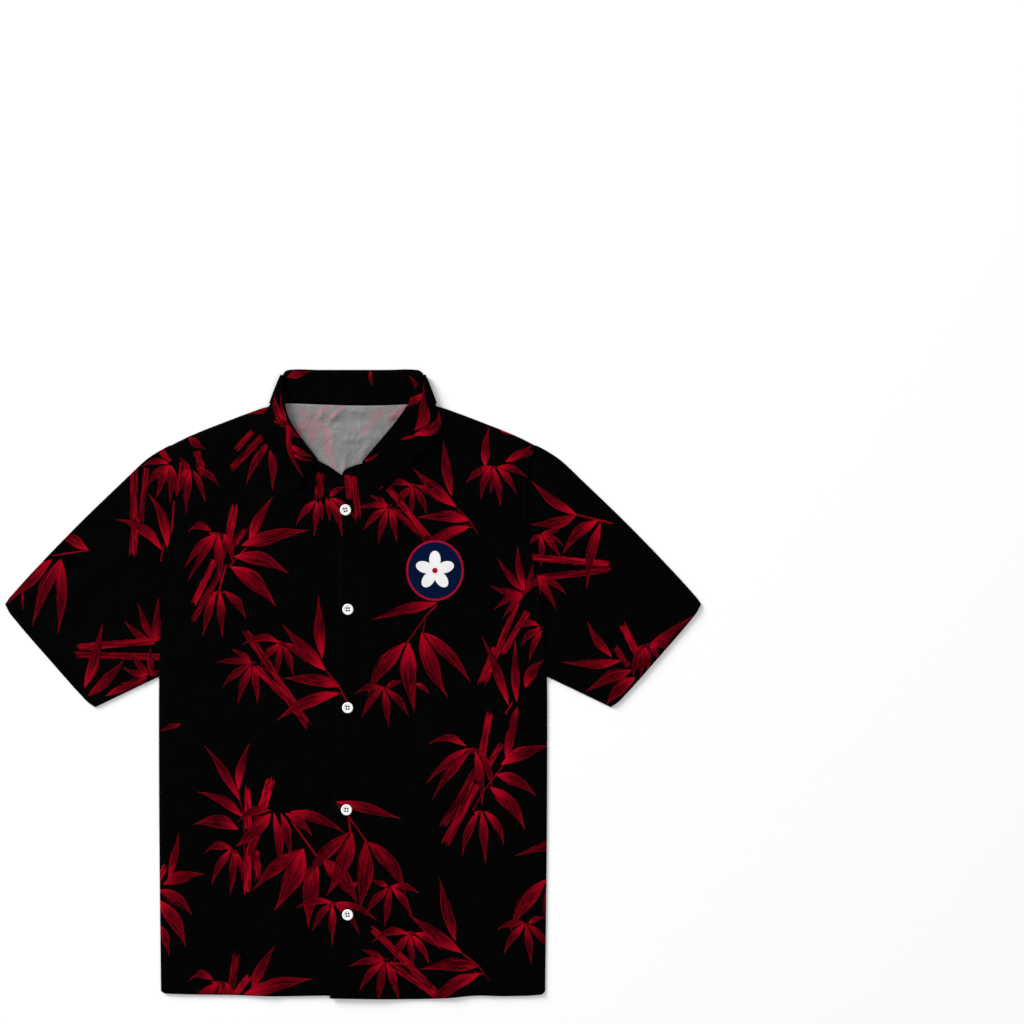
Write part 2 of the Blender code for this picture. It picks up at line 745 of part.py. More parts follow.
def buttons(surface, home, shop):
    mesh = button_mesh(surface, home, shop)
    for number, row in enumerate(BUTTONS, start=1):
        piece = bpy.data.objects.new(f"button_{number}", mesh)
        height = upper_front_height(row.x, row.y) + WALL / 2 + SEAM
        piece.location = Vector((row.x, row.y, height)) * MM
        piece.rotation_euler.z = math.radians(row.turn)
        home.objects.link(piece)


# ---------------------------------------------------------------- the shirt
def main():
    for item in list(bpy.data.objects):
        bpy.data.objects.remove(item)
    home = bpy.data.collections.new("shirt")
    shop = bpy.data.collections.new("shirt cutters")
    for collection in (home, shop):
        bpy.context.scene.collection.children.link(collection)
    printed = material("printed cloth", CLOTH_COLOUR, 0.9)
    shell = material("button shell", BUTTON_COLOUR, 0.35)

    over, left, back, right, under = collar_runs()
    over_lines = band_end(BAND_END_OVER, upper_front_height) + band_lines(over)
    under_lines = band_lines(under) + band_end(BAND_END_UNDER, under_front_height)
    back_panel(band_lines(back), printed, home)
    under_front(under_lines, printed, home)
    upper_front(over_lines, printed, home)
    sleeve("sleeve_left", 1.0, printed, home)
    sleeve("sleeve_right", -1.0, printed, home)
    collar_stand(over_lines + band_lines(left + back + right) + under_lines, printed, home)
    collar_fall(over + left + back + right + under, printed, home)
    buttons(shell, home, shop)


main()
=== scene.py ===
# %% [markdown]
# # A hawaiian shirt, laid flat
#
# The shirt lies on its back on the plane z = 0, with +Y towards the collar and +X towards the
# wearer's left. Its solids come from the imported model, and this lesson dresses them in thin
# printed cloth, sewing and buttons. A soft solid is only a stand-in, so each one is replaced by
# a piece of cloth that lies in the same place. Sizes are kept in millimetres, as a tailor would
# have them, and are turned into Blender's metres where a mesh is made.

import math
from collections import namedtuple

import bmesh
import bpy
from mathutils import Matrix, Vector, kdtree, noise
from mathutils.geometry import delaunay_2d_cdt


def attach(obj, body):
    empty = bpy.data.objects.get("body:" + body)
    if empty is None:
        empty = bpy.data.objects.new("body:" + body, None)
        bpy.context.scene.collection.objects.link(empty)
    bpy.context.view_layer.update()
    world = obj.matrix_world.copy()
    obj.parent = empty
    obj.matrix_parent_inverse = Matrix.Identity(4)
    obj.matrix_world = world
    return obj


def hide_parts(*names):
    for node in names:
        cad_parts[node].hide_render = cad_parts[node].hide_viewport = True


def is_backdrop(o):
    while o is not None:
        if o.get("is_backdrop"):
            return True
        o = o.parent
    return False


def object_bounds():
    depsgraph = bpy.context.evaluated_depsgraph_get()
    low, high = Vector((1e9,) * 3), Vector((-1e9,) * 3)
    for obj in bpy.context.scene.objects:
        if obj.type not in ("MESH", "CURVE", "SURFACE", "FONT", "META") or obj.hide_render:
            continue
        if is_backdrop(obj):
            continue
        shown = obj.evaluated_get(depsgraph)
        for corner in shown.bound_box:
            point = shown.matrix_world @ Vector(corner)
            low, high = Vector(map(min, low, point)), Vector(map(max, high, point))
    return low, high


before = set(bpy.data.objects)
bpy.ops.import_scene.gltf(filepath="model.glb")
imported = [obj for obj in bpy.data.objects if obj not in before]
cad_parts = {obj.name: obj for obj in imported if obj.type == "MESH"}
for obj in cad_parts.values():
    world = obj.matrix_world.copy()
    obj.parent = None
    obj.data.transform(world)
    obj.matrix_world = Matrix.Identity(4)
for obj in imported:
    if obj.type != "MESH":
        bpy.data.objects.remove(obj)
cad_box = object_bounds()
MM = 0.001


# %% Two helpers for adding things
def add_object(name, data):
    """Puts a mesh, a light or a camera in the scene."""
    made = bpy.data.objects.new(name, data)
    bpy.context.collection.objects.link(made)
    return made


def mesh_from(name, shape, surfaces=()):
    """Turns an edited shape into a mesh with these materials."""
    mesh = bpy.data.meshes.new(name)
    shape.to_mesh(mesh)
    shape.free()
    for surface in surfaces:
        mesh.materials.append(surface)
    return mesh


# %% [markdown]
# ## Camera, floor and light
#
# A garment that is sold as a flat lay is photographed from straight above, with a long lens, so
# that nothing leans. The floor is white card. One broad soft light stands low beyond the right
# shoulder. It puts a soft shadow beside the body and below the sleeves, and it brings out the
# folds. A pale sky fills the rest.

# %% The camera looks straight down
LENS = 85.0  # mm
SENSOR = 36.0  # mm
VIEW_WIDTH = 1.3312  # metres of floor across the picture
VIEW_CENTRE = (0.2067, 0.2236)  # the point of the floor in the middle of the picture
CLOTH_LEVEL = 0.003  # the height at which the width is measured

camera_data = bpy.data.cameras.new("camera")
camera_data.lens = LENS
camera_data.sensor_width = SENSOR
camera = add_object("camera", camera_data)
camera.location = (*VIEW_CENTRE, CLOTH_LEVEL + VIEW_WIDTH * LENS / SENSOR)
bpy.context.scene.camera = camera
print("camera height:", round(camera.location.z, 3), "m")

# %% Soft studio light
Lamp = namedtuple("Lamp", "name place target size power")
LAMPS = [
    Lamp("key", (-6.6, 6.1, 2.9), (0.0, 0.0, 0.0), 4.0, 1320.0),
    Lamp("fill", (2.4, -1.2, 3.4), (0.1, 0.0, 0.0), 2.4, 12.5),
]
SKY_STRENGTH = 0.57

for row in LAMPS:
    light = bpy.data.lights.new(row.name, "AREA")
    light.energy = row.power
    light.shape = "DISK"
    light.size = row.size
    lamp = add_object(row.name, light)
    lamp.location = row.place
    aim = Vector(row.target) - Vector(row.place)
    lamp.rotation_euler = aim.to_track_quat("-Z", "Y").to_euler()

sky = bpy.data.worlds.new("pale sky")
sky.use_nodes = True
background = sky.node_tree.nodes["Background"]
background.inputs["Color"].default_value = (1.0, 1.0, 1.0, 1.0)
background.inputs["Strength"].default_value = SKY_STRENGTH
bpy.context.scene.world = sky
bpy.context.scene.view_settings.view_transform = "Standard"

# %% [markdown]
# ## Materials as sums
#
# A procedural material is a small calculation, so it reads best as one. The class below wraps a
# node's socket and lets Python's own signs add Math nodes. Another method adds any kind of node:
# its settings go in first, because some of them change which sockets the node has.


# %% A socket that can be used in sums
class Wire:
    """An output socket in a material. A sum of wires and numbers adds its Math nodes."""

    def __init__(self, tree, socket=None):
        self.tree = tree
        self.socket = socket

    def node(self, kind, settings=None, sockets=None, output=None):
        """Adds a node, sets it, then fills its sockets with values or wires."""
        made = self.tree.nodes.new(kind)
        for name, value in (settings or {}).items():
            if name == "stops":
                set_stops(made.color_ramp, value)
            else:
                setattr(made, name, value)
        for name, value in (sockets or {}).items():
            socket = find_socket(made.inputs, name)
            if isinstance(value, Wire):
                self.tree.links.new(value.socket, socket)
            else:
                socket.default_value = value
        return Wire(self.tree, find_socket(made.outputs, output))

    def math(self, operation, first, second=0.0):
        return self.node("ShaderNodeMath", {"operation": operation}, {0: first, 1: second})

    def mix(self, share, first, second):
        """Blends two colours."""
        sockets = {"Factor": share, "A": first, "B": second}
        return self.node("ShaderNodeMix", {"data_type": "RGBA"}, sockets)

    def clouds(self, **sockets):
        """A noise texture."""
        return self.node("ShaderNodeTexNoise", None, sockets)

    def chance(self, number):
        """A random value from 0 to 1 for each number."""
        settings = {"noise_dimensions": "1D"}
        return self.node("ShaderNodeTexWhiteNoise", settings, {"W": number}, "Value")

    def __add__(self, other):
        return self.math("ADD", self, other)

    def __sub__(self, other):
        return self.math("SUBTRACT", self, other)

    def __mul__(self, other):
        return self.math("MULTIPLY", self, other)

    def __rsub__(self, other):
        return self.math("SUBTRACT", other, self)

    __radd__ = __add__
    __rmul__ = __mul__


def find_socket(sockets, key):
    """A socket by its number, or the first one in use with this name. None gives the first."""
    if isinstance(key, int):
        return sockets[key]
    return next(one for one in sockets if one.enabled and key in (None, one.name))


def set_stops(ramp, stops):
    """Gives a colour ramp these stops, each a place and a colour."""
    while len(ramp.elements) < len(stops):
        ramp.elements.new(1.0)
    for element, (place, colour) in zip(ramp.elements, stops):
        element.position = place
        element.color = (*colour, 1.0)


def new_material(name):
    """An empty material with its Principled shader, and a loose wire to start sums from."""
    surface = bpy.data.materials.new(name)
    surface.use_nodes = True
    return surface, surface.node_tree.nodes["Principled BSDF"], Wire(surface.node_tree)


# %% [markdown]
# ## The floor
#
# A sheet of white card under the garment. It is staging and no part of the shirt, so it is
# marked as such. A plain grid is enough, with a very faint mottle, as card has.

# %% White card
FLOOR_SIZE = 9.0  # metres
surface, shader, start = new_material("white card")
mottle = start.clouds(Scale=3.0, Detail=2.0)
shader.inputs["Roughness"].default_value = 0.9
shader.inputs["Specular IOR Level"].default_value = 0.1
card = start.mix(mottle, (0.965, 0.965, 0.965, 1.0), (0.985, 0.985, 0.985, 1.0))
start.tree.links.new(card.socket, shader.inputs["Base Color"])

shape = bmesh.new()
bmesh.ops.create_grid(shape, x_segments=4, y_segments=4, size=FLOOR_SIZE / 2)
floor = add_object("floor", mesh_from("floor", shape, [surface]))
floor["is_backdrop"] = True

# %% [markdown]
# ## Cloth
#
# The shirt is a light plain weave. Its print is dyed into the face, and the wrong side stays
# pale grey with the motifs showing through as pink ghosts. Every fabric here shares one weave:
# two sets of fine bands, one across the other, with a little fuzz. On the wrong side there are
# sharp little creases too. The dyes differ, so each is a short function that the shared recipe
# calls. The leaves are cut into the cloth's own mesh, and each carries its place along and across
# the leaf, which the dye reads for its veins.

# %% The shared weave
THREAD = 0.55  # mm from one thread to the next
WAVES_A_METRE = 0.314  # a wave texture of scale 1 repeats after this many metres
WEAVE_DEPTH = 0.00012
RUMPLE = 85.0  # depth of the wrong side's little creases, in weave depths


def fabric(name, dye, roughness=0.85, gloss=0.012, rumple=0.0):
    """A woven material whose colour comes from dye, a function that gets a wire to start from."""
    surface, shader, start = new_material(name)
    place = start.node("ShaderNodeTexCoord", output="Object")
    bands = []
    for direction in ("X", "Y"):
        settings = {"bands_direction": direction, "wave_profile": "SIN"}
        sockets = {"Vector": place, "Scale": WAVES_A_METRE / (THREAD * MM), "Distortion": 0.6}
        bands.append(start.node("ShaderNodeTexWave", settings, sockets, "Fac"))
    fuzz = start.clouds(Vector=place, Scale=900.0, Detail=2.0)
    slub = start.clouds(Vector=place, Scale=60.0, Detail=3.0)
    height = bands[0] * bands[1] + fuzz * 0.5
    if rumple:
        swell = start.clouds(Vector=place, Scale=38.0, Detail=4.0, Roughness=0.55, Distortion=0.5)
        height = height + start.math("ABSOLUTE", swell - 0.5) * rumple
    relief = {"Height": height, "Strength": 0.35, "Distance": WEAVE_DEPTH}
    bump = start.node("ShaderNodeBump", None, relief)
    links = start.tree.links
    links.new(bump.socket, shader.inputs["Normal"])
    links.new((slub * 0.12 + (roughness - 0.06)).socket, shader.inputs["Roughness"])
    links.new(dye(start, place, slub).socket, shader.inputs["Base Color"])
    shader.inputs["Specular IOR Level"].default_value = gloss
    return surface


# %% Black ground, leaves and canes
def black_dye(start, place, slub):
    return start.mix(slub, (0.0004, 0.0003, 0.0004, 1.0), (0.0016, 0.0013, 0.0016, 1.0))


def print_place(start):
    """Where a point is in its motif: along it from 0 to 1, across from -1 to 1, and its number."""
    stored = start.node("ShaderNodeAttribute", {"attribute_name": "print"}, output="Vector")
    parts = start.node("ShaderNodeSeparateXYZ", None, {"Vector": stored})
    node = parts.socket.node
    return [Wire(start.tree, node.outputs[name]) for name in ("X", "Y", "Z")]


def veins(start, along, across, number, fineness):
    """Streaks that run the length of a motif."""
    stretch = {"X": along * 2.2, "Y": across * fineness, "Z": number * 31.0}
    spot = start.node("ShaderNodeCombineXYZ", None, stretch)
    return start.clouds(Vector=spot, Scale=1.0, Detail=3.0, Roughness=0.6)


LEAF_STOPS = [  # from base to tip
    (0.0, (0.52, 0.0015, 0.0160)),
    (0.15, (0.34, 0.0009, 0.0110)),
    (0.36, (0.080, 0.0003, 0.0040)),
    (0.58, (0.026, 0.0001, 0.0020)),
    (0.80, (0.055, 0.0002, 0.0034)),
    (1.0, (0.28, 0.0011, 0.0100)),
]
LINE_SHARPNESS = 20.0
LEAF_SHADE = (0.012, 0.0001, 0.0010, 1.0)
LEAF_LIGHT = (0.42, 0.0014, 0.0140, 1.0)


def held(wire):
    """Keeps a value between 0 and 1."""
    return wire.node("ShaderNodeClamp", None, {"Value": wire})


def leaf_dye(start, place, slub):
    along, across, number = print_place(start)
    broad = veins(start, along, across, number, 1.7)
    fine = veins(start, along, across, number + 0.37, 4.6)
    share = along + broad * 0.5 - 0.25
    base = start.node("ShaderNodeValToRGB", {"stops": LEAF_STOPS}, {"Fac": share})
    hollow = held((0.55 - broad) * 3.4 + (start.chance(number) - 0.45) * 1.8)
    dark_side = held((across * -1.0 - 0.55) * 2.4)
    dark_line = held((0.5 - fine) * 6.0)
    toned = start.mix(held(hollow * 0.62 + dark_side * 0.6 + dark_line * 0.55), base, LEAF_SHADE)
    bright_side = held((across - 0.62) * 3.0)
    line = held(1.0 - start.math("ABSOLUTE", fine - 0.53) * LINE_SHARPNESS)
    lit = held(bright_side * 0.28 + line * 0.40)
    return start.mix(lit, toned, LEAF_LIGHT)


CANE_STOPS = [  # from a dark streak to a bright one
    (0.36, (0.012, 0.0001, 0.0008)),
    (0.47, (0.090, 0.0003, 0.0038)),
    (0.57, (0.24, 0.0008, 0.0085)),
    (0.70, (0.44, 0.0014, 0.0140)),
]


def cane_dye(start, place, slub):
    along, across, number = print_place(start)
    streak = veins(start, along, across, number, 3.6)
    share = streak + (start.chance(number) - 0.5) * 0.16
    return start.node("ShaderNodeValToRGB", {"stops": CANE_STOPS}, {"Fac": share})


# %% The wrong side
def pale_dye(low, high):
    def dye(start, place, slub):
        cloud = start.clouds(Vector=place, Scale=14.0, Detail=3.0)
        return start.mix(cloud * 0.7 + slub * 0.3, low, high)

    return dye


wrong_dye = pale_dye((0.105, 0.100, 0.101, 1.0), (0.345, 0.330, 0.331, 1.0))
ghost_pink = pale_dye((0.18, 0.095, 0.108, 1.0), (0.44, 0.262, 0.285, 1.0))


def ghost_dye(start, place, slub):
    """The print seen through the cloth. It fades toward each motif's edges and in blotches."""
    along, across, number = print_place(start)
    cloud = start.clouds(Vector=place, Scale=26.0, Detail=2.0)
    share = held(1.3 - across * across) * held(cloud * 2.8 - 0.4)
    return start.mix(share, wrong_dye(start, place, slub), ghost_pink(start, place, slub))


# %% The badge's inks
def ink(colour):
    def dye(start, place, slub):
        worn = tuple(part * 0.8 for part in colour)
        return start.mix(slub, (*worn, 1.0), (*colour, 1.0))

    return dye


Finish = namedtuple("Finish", "kind face_dye back_dye")
FINISHES = [
    Finish("ground", black_dye, wrong_dye),
    Finish("leaf", leaf_dye, ghost_dye),
    Finish("cane", cane_dye, ghost_dye),
    Finish("badge_rim", ink((0.36, 0.004, 0.024)), wrong_dye),
    Finish("badge_field", ink((0.0012, 0.0070, 0.036)), wrong_dye),
    Finish("badge_flower", ink((0.90, 0.88, 0.89)), wrong_dye),
]
KINDS = [row.kind for row in FINISHES]
FACES = [fabric(f"printed {row.kind}", row.face_dye) for row in FINISHES]
BACKS = [fabric(f"wrong side of {row.kind}", row.back_dye, 0.88, 0.1, RUMPLE) for row in FINISHES]
print("fabrics:", len(FACES) + len(BACKS))

# %% [markdown]
# ## Smooth lines
#
# A tailor draws an outline through a few marks with a curved rule. The class below does the
# same: it runs smoothly through its points, and is read by the share of its length. It works in
# any number of dimensions, so it can carry a whole cross-section of the collar at once.


# %% Curves through points
class Curve:
    """A smooth curve through points. Called with 0 to 1, it gives the point that far along."""

    def __init__(self, points):
        self.points = [Vector(point) for point in points]
        steps = [(b - a).length for a, b in zip(self.points, self.points[1:])]
        self.length = sum(steps)
        self.marks = [sum(steps[:i]) / self.length for i in range(len(self.points))]

    def slope(self, i):
        before = max(i - 1, 0)
        after = min(i + 1, len(self.points) - 1)
        run = self.marks[after] - self.marks[before]
        return (self.points[after] - self.points[before]) / run

    def __call__(self, share):
        last = len(self.points) - 2
        i = max(k for k in range(last + 1) if self.marks[k] <= share or k == 0)
        run = self.marks[i + 1] - self.marks[i]
        s = (share - self.marks[i]) / run
        return (
            self.points[i] * (2 * s**3 - 3 * s**2 + 1)
            + self.slope(i) * run * (s**3 - 2 * s**2 + s)
            + self.points[i + 1] * (3 * s**2 - 2 * s**3)
            + self.slope(i + 1) * run * (s**3 - s**2)
        )


def traced(points, step=3.0):
    """Points about step apart along the smooth curve through the given ones."""
    curve = Curve(points)
    count = max(round(curve.length / step), 1)
    return [curve(i / count) for i in range(count + 1)]


def ease(share):
    """Runs smoothly from 0 to 1 as share does, and stays there outside that range."""
    share = min(max(share, 0.0), 1.0)
    return share * share * (3.0 - 2.0 * share)


def directions(points):
    """The direction of a run of points at each of them."""
    before = points[:1] + points[:-1]
    after = points[1:] + points[-1:]
    return [(b - a).normalized() for a, b in zip(before, after)]


def beside(points, distance):
    """A run of plan points moved to its left by a distance."""
    ways = directions(points)
    return [point + Vector((-way.y, way.x)) * distance for point, way in zip(points, ways)]


def mirrored(points):
    return [Vector((-point.x, point.y)) for point in points]


# %% [markdown]
# ## The outlines
#
# These are the marks of the body's panels and the sleeves, for the wearer's left half. The right
# half is the mirror image, apart from the hems and the front edges, because the left front laps
# over the right one. They are the same marks that the solids were made from.

# %% The body's seams
Point = namedtuple("Point", "place x y")

SIDE_SEAM = [
    Point("hem corner", 249.8, -399.5),
    Point("hip", 251.9, -200.0),
    Point("ribs", 252.5, -40.0),
    Point("underarm", 252.2, 10.4),
]
ARMHOLE = [
    Point("underarm", 252.2, 10.4),
    Point("low armhole", 249.5, 70.0),
    Point("mid armhole", 242.0, 122.0),
    Point("chest point", 229.5, 187.0),
    Point("upper armhole", 228.0, 255.0),
    Point("shoulder tip", 236.0, 310.5),
]
SHOULDER = [
    Point("neck point", 103.0, 362.4),
    Point("near neck", 121.0, 357.5),
    Point("middle", 172.0, 338.5),
    Point("near tip", 212.0, 322.4),
    Point("shoulder tip", 236.0, 310.5),
]

# %% The hems
UNDER_EDGE_X = 16.0  # the lower front's free edge, hidden by the upper one
HEM_OF_UPPER_FRONT = [
    Point("front edge", -30.0, -408.9),
    Point("first dip", 55.0, -410.0),
    Point("level", 118.0, -408.9),
    Point("rise", 160.0, -405.4),
    Point("second dip", 200.0, -406.0),
    Point("turn up", 245.5, -403.9),
    Point("side", 249.8, -399.5),
]
HEM_OF_UNDER_FRONT = [
    Point("side", -249.8, -399.5),
    Point("turn up", -243.5, -402.6),
    Point("rise", -153.0, -404.6),
    Point("dip", -100.0, -406.2),
    Point("by the edge", -43.0, -405.4),
    Point("front edge", UNDER_EDGE_X, -405.0),
]
HEM_OF_BACK = [
    Point("right side", -249.8, -399.5),
    Point("right turn", -243.5, -401.6),
    Point("right", -150.0, -402.4),
    Point("middle", 0.0, -402.8),
    Point("left", 150.0, -402.4),
    Point("left turn", 243.5, -401.6),
    Point("left side", 249.8, -399.5),
]
UPPER_EDGE = [
    Point("hem", -30.0, -408.9),
    Point("waist", -24.0, -100.0),
    Point("neck", -15.2, 271.5),
]
UNDER_EDGE = [
    Point("hem", UNDER_EDGE_X, -405.0),
    Point("neck", UNDER_EDGE_X, 259.5),
]

# %% The sleeve's lines
SLEEVE_FOLD = [
    Point("shoulder tip", 236.4, 310.9),
    Point("cap", 252.0, 302.6),
    Point("cap end", 270.0, 290.4),
    Point("upper arm", 297.0, 265.0),
    Point("middle", 357.0, 207.0),
    Point("near hem", 414.0, 148.0),
    Point("corner turn", 446.0, 112.5),
    Point("corner", 452.4, 103.5),
]
SLEEVE_UNDERARM = [
    Point("underarm", 252.7, 9.6),
    Point("middle", 293.0, -9.5),
    Point("corner", 335.5, -30.0),
]
SLEEVE_HEM = [
    Point("inner corner", 335.5, -30.0),
    Point("corner turn", 346.8, -21.8),
    Point("middle", 394.6, 31.4),
    Point("outer turn", 445.0, 90.2),
    Point("outer corner", 452.4, 103.5),
]


def marks(rows):
    return [(row.x, row.y) for row in rows]


side_seam = traced(marks(SIDE_SEAM))
armhole = traced(marks(ARMHOLE))
shoulder = traced(marks(SHOULDER))
lengths = [round(Curve(run).length) for run in (side_seam, armhole, shoulder)]
print("side seam, armhole and shoulder:", lengths)

# %% [markdown]
# ## How far a point is from a seam
#
# Folds die out at a seam, a pressed edge is thin, and a stitched line draws the cloth down. All
# of these need the distance from a point to a line. A search tree over closely spaced points of
# the line answers that quickly, and it is short to write.


# %% Distance to a line
class Line:
    """Runs of plan points that can be asked how far away they are."""

    SPACING = 0.5  # mm between the points that are searched

    def __init__(self, *runs):
        points = []
        for run in runs:
            for a, b in zip(run, run[1:]):
                count = max(math.ceil((b - a).length / self.SPACING), 1)
                points += [a.lerp(b, i / count) for i in range(count)]
            points.append(run[-1])
        self.tree = kdtree.KDTree(len(points))
        for i, point in enumerate(points):
            self.tree.insert((*point[:2], 0.0), i)
        self.tree.balance()

    def space(self, x, y):
        return self.tree.find((x, y, 0.0))[2]


pressed = Line(side_seam, mirrored(side_seam), shoulder, mirrored(shoulder))
armholes = Line(armhole, mirrored(armhole))
body_seams = Line(side_seam + armhole, mirrored(side_seam + armhole), shoulder, mirrored(shoulder))

# %% [markdown]
# ## Creases
#
# Flat cotton or polyester never lies dead flat: it is dragged from the underarm towards the
# chest, swings down beside the side seam, and is puckered at the buttons. Each crease here is
# given as one row: a ridge that is steeper on one side, with a shallow trough beside it, and
# that may bend. They differ in length, depth and spacing, because even ones look like a
# machine's. A simulation would not put them where the garment's cut does.

# %% Large and small creases
Crease = namedtuple("Crease", "x y turn length width height bend")

BROAD_CREASES = [
    Crease(182, 18, 38, 120, 17, 1.7, 6), Crease(196, -150, 84, 190, 21, 1.5, -8),
    Crease(118, -330, 96, 130, 24, 1.7, 7), Crease(128, 170, 118, 120, 23, 1.2, 5),
    Crease(92, -120, 78, 150, 20, 1.1, -6), Crease(-180, 26, 141, 130, 18, 1.8, -7),
    Crease(-192, -190, 94, 170, 22, 1.4, 9), Crease(-96, -320, 83, 150, 22, 1.6, -5),
    Crease(-134, 160, 64, 130, 21, 1.3, 6), Crease(-84, -96, 104, 130, 19, 1, 5),
    Crease(318, 142, -38, 100, 15, 1.9, 5), Crease(300, 66, -24, 80, 13, 1.5, -4),
    Crease(-324, 150, 216, 110, 15, 1.8, -5), Crease(-296, 62, 202, 76, 14, 1.6, 4),
]
FINE_CREASES = [
    Crease(214, 44, 62, 66, 7, 1, 5), Crease(205, -22, 12, 74, 8, 1.1, -6),
    Crease(222, -92, 71, 88, 9, 0.9, 7), Crease(150, 92, 44, 92, 10, 0.7, -9),
    Crease(152, -226, 101, 104, 11, 0.8, 8), Crease(64, -246, 84, 76, 10, 0.6, -4),
    Crease(56, 62, 22, 58, 8, 0.6, 5), Crease(178, 268, -28, 70, 9, 0.7, 4),
    Crease(206, -352, 77, 58, 9, 0.9, -3), Crease(30, -356, 97, 64, 10, 0.7, 3),
    Crease(-216, 52, 116, 62, 8, 1, -4), Crease(-202, -30, 164, 84, 9, 1, 6),
    Crease(-226, -118, 104, 72, 8, 0.8, -6), Crease(-148, 78, 132, 96, 11, 0.8, 8),
    Crease(-158, -262, 81, 112, 12, 0.8, -7), Crease(-58, -208, 98, 84, 10, 0.6, 5),
    Crease(-62, 44, 158, 54, 8, 0.6, -4), Crease(-176, 258, 211, 64, 9, 0.7, -4),
    Crease(-208, -350, 99, 66, 9, 0.8, 4), Crease(-128, -368, 86, 44, 9, 0.7, 2),
    Crease(276, 178, 78, 60, 8, 1.1, 6), Crease(290, 22, -8, 62, 7, 1.2, 4),
    Crease(364, 96, 46, 72, 9, 0.9, -5), Crease(382, 150, -46, 48, 8, 0.8, 3),
    Crease(-278, 186, 101, 66, 8, 1, -5), Crease(-300, 18, 187, 70, 8, 1.2, -5),
    Crease(-352, 88, 132, 60, 9, 1, 6), Crease(-392, 140, 222, 54, 8, 0.8, -3),
]
BACK_CREASES = [
    Crease(-24, 347, 47, 15, 3.6, 1.9, 0.7), Crease(4, 354, -14, 13, 3.6, 1.3, 0.5),
    Crease(-42, 350, 64, 11, 3.8, 1.2, -0.6), Crease(22, 336, -8, 17, 4, 1, 0.8),
    Crease(-27, 322, 101, 17, 4.4, 1.1, -0.9), Crease(-3, 316, -6, 18, 5.6, 1.2, 1),
    Crease(-68, 333, -54, 13, 4.2, 1, 0.6), Crease(-10, 288, 84, 20, 5, 1.1, -0.8),
    Crease(50, 346, 34, 14, 4.2, 0.9, -0.6), Crease(16, 302, 58, 15, 5, 1, 0.7),
    Crease(-120, -40, 82, 160, 20, 0.9, 8), Crease(130, 60, 108, 150, 18, 0.8, -8),
]
TROUGH_SHARE = 0.4  # depth of the trough beside a ridge
TROUGH_PLACE = 1.7  # from the ridge to the trough, in widths
STEEP_SIDE = 0.6  # width of a ridge's steeper side
LAST_ALONG = 1.6  # a crease is left out past this many lengths
LAST_ACROSS = 5.0  # and past this many widths


def crease_height(rows, x, y):
    """What a table of creases adds at a point, in mm."""
    total = 0.0
    for row in rows:
        turn = math.radians(row.turn)
        along = ((x - row.x) * math.cos(turn) + (y - row.y) * math.sin(turn)) / row.length
        if abs(along) > LAST_ALONG:
            continue
        across = (y - row.y) * math.cos(turn) - (x - row.x) * math.sin(turn)
        across = (across - row.bend * (1.0 - 4.0 * along * along)) / row.width
        if abs(across) > LAST_ACROSS:
            continue
        ridge = across / STEEP_SIDE if across < 0 else across
        trough = TROUGH_SHARE * math.exp(-((across - TROUGH_PLACE) ** 2))
        total += row.height * math.exp(-2.0 * along * along) * (math.exp(-ridge * ridge) - trough)
    return total


# %% [markdown]
# ## The layers' heights
#
# Laid flat, the back lies on the floor, the right front on the back, and the left front on the
# right one where they lap. Every layer is a height over the plan, so neighbours can't cross: the
# fronts share their creases, and all of them rise together where the collar's fall lies under
# the back of the neck.

# %% Heights of the middle of each layer
CLOTH = 0.7  # thickness of one layer
LAYER = 1.5  # from one layer to the next
FRONT_MIDDLE = 2.1
FRONT_CENTRE = -7.0  # x of the line of buttons
LAP_CLEAR = 22.0  # past this x the upper front comes down to the body
LAP_SLOPE = 53.0
LIFT_START = 340.0  # y where the back starts to rise over the collar's fall
LIFT_LENGTH = 16.0
LIFT_HALF_WIDTH = 106.0
LIFT_FADE = 18.0
LIFT_LEAD = 9.0  # the fronts rise this much sooner
CALM = 35.0  # width of the border inside a seam over which broad creases die out
FINE_CALM = 12.0
PLACKET_CALM = 60.0
COLLAR_CALM_Y = 200.0  # above this the collar presses the fronts flat
COLLAR_CALM_X = 125.0  # out to this far from the middle
COLLAR_CALM_FADE = (40.0, 60.0)  # across and up
BROAD_LIMITS = (-0.9, 2.1)  # lowest and highest, in mm
FINE_LIMITS = (-0.5, 1.4)
SEAM_DROP = 1.02  # how far a front comes down to the back at a pressed seam
SEAM_ROUND = 9.0
ARMHOLE_RISE = 0.42  # the body's edge lies on the sleeve's

Ripple = namedtuple("Ripple", "height across up seed")
RIPPLES = [Ripple(0.22, 34.0, 41.0, 3.0), Ripple(0.1, 12.0, 15.0, 7.0)]  # gentle unevenness


def lift(x, y, lead=0.0):
    rise = ease((y + lead - LIFT_START) / LIFT_LENGTH)
    return LAYER * rise * (1.0 - ease((abs(x) - lead - LIFT_HALF_WIDTH) / LIFT_FADE))


def calm(x, y, width):
    """1 well inside a front, and 0 at its seams, its placket and under the collar."""
    placket = ease(abs(x - FRONT_CENTRE) / PLACKET_CALM)
    beside_collar = ease((abs(x) - COLLAR_CALM_X) / COLLAR_CALM_FADE[0])
    collar = 1.0 - ease((y - COLLAR_CALM_Y) / COLLAR_CALM_FADE[1]) * (1.0 - beside_collar)
    return ease(body_seams.space(x, y) / width) * placket * collar


def limited(value, low, high):
    return min(max(value, low), high)


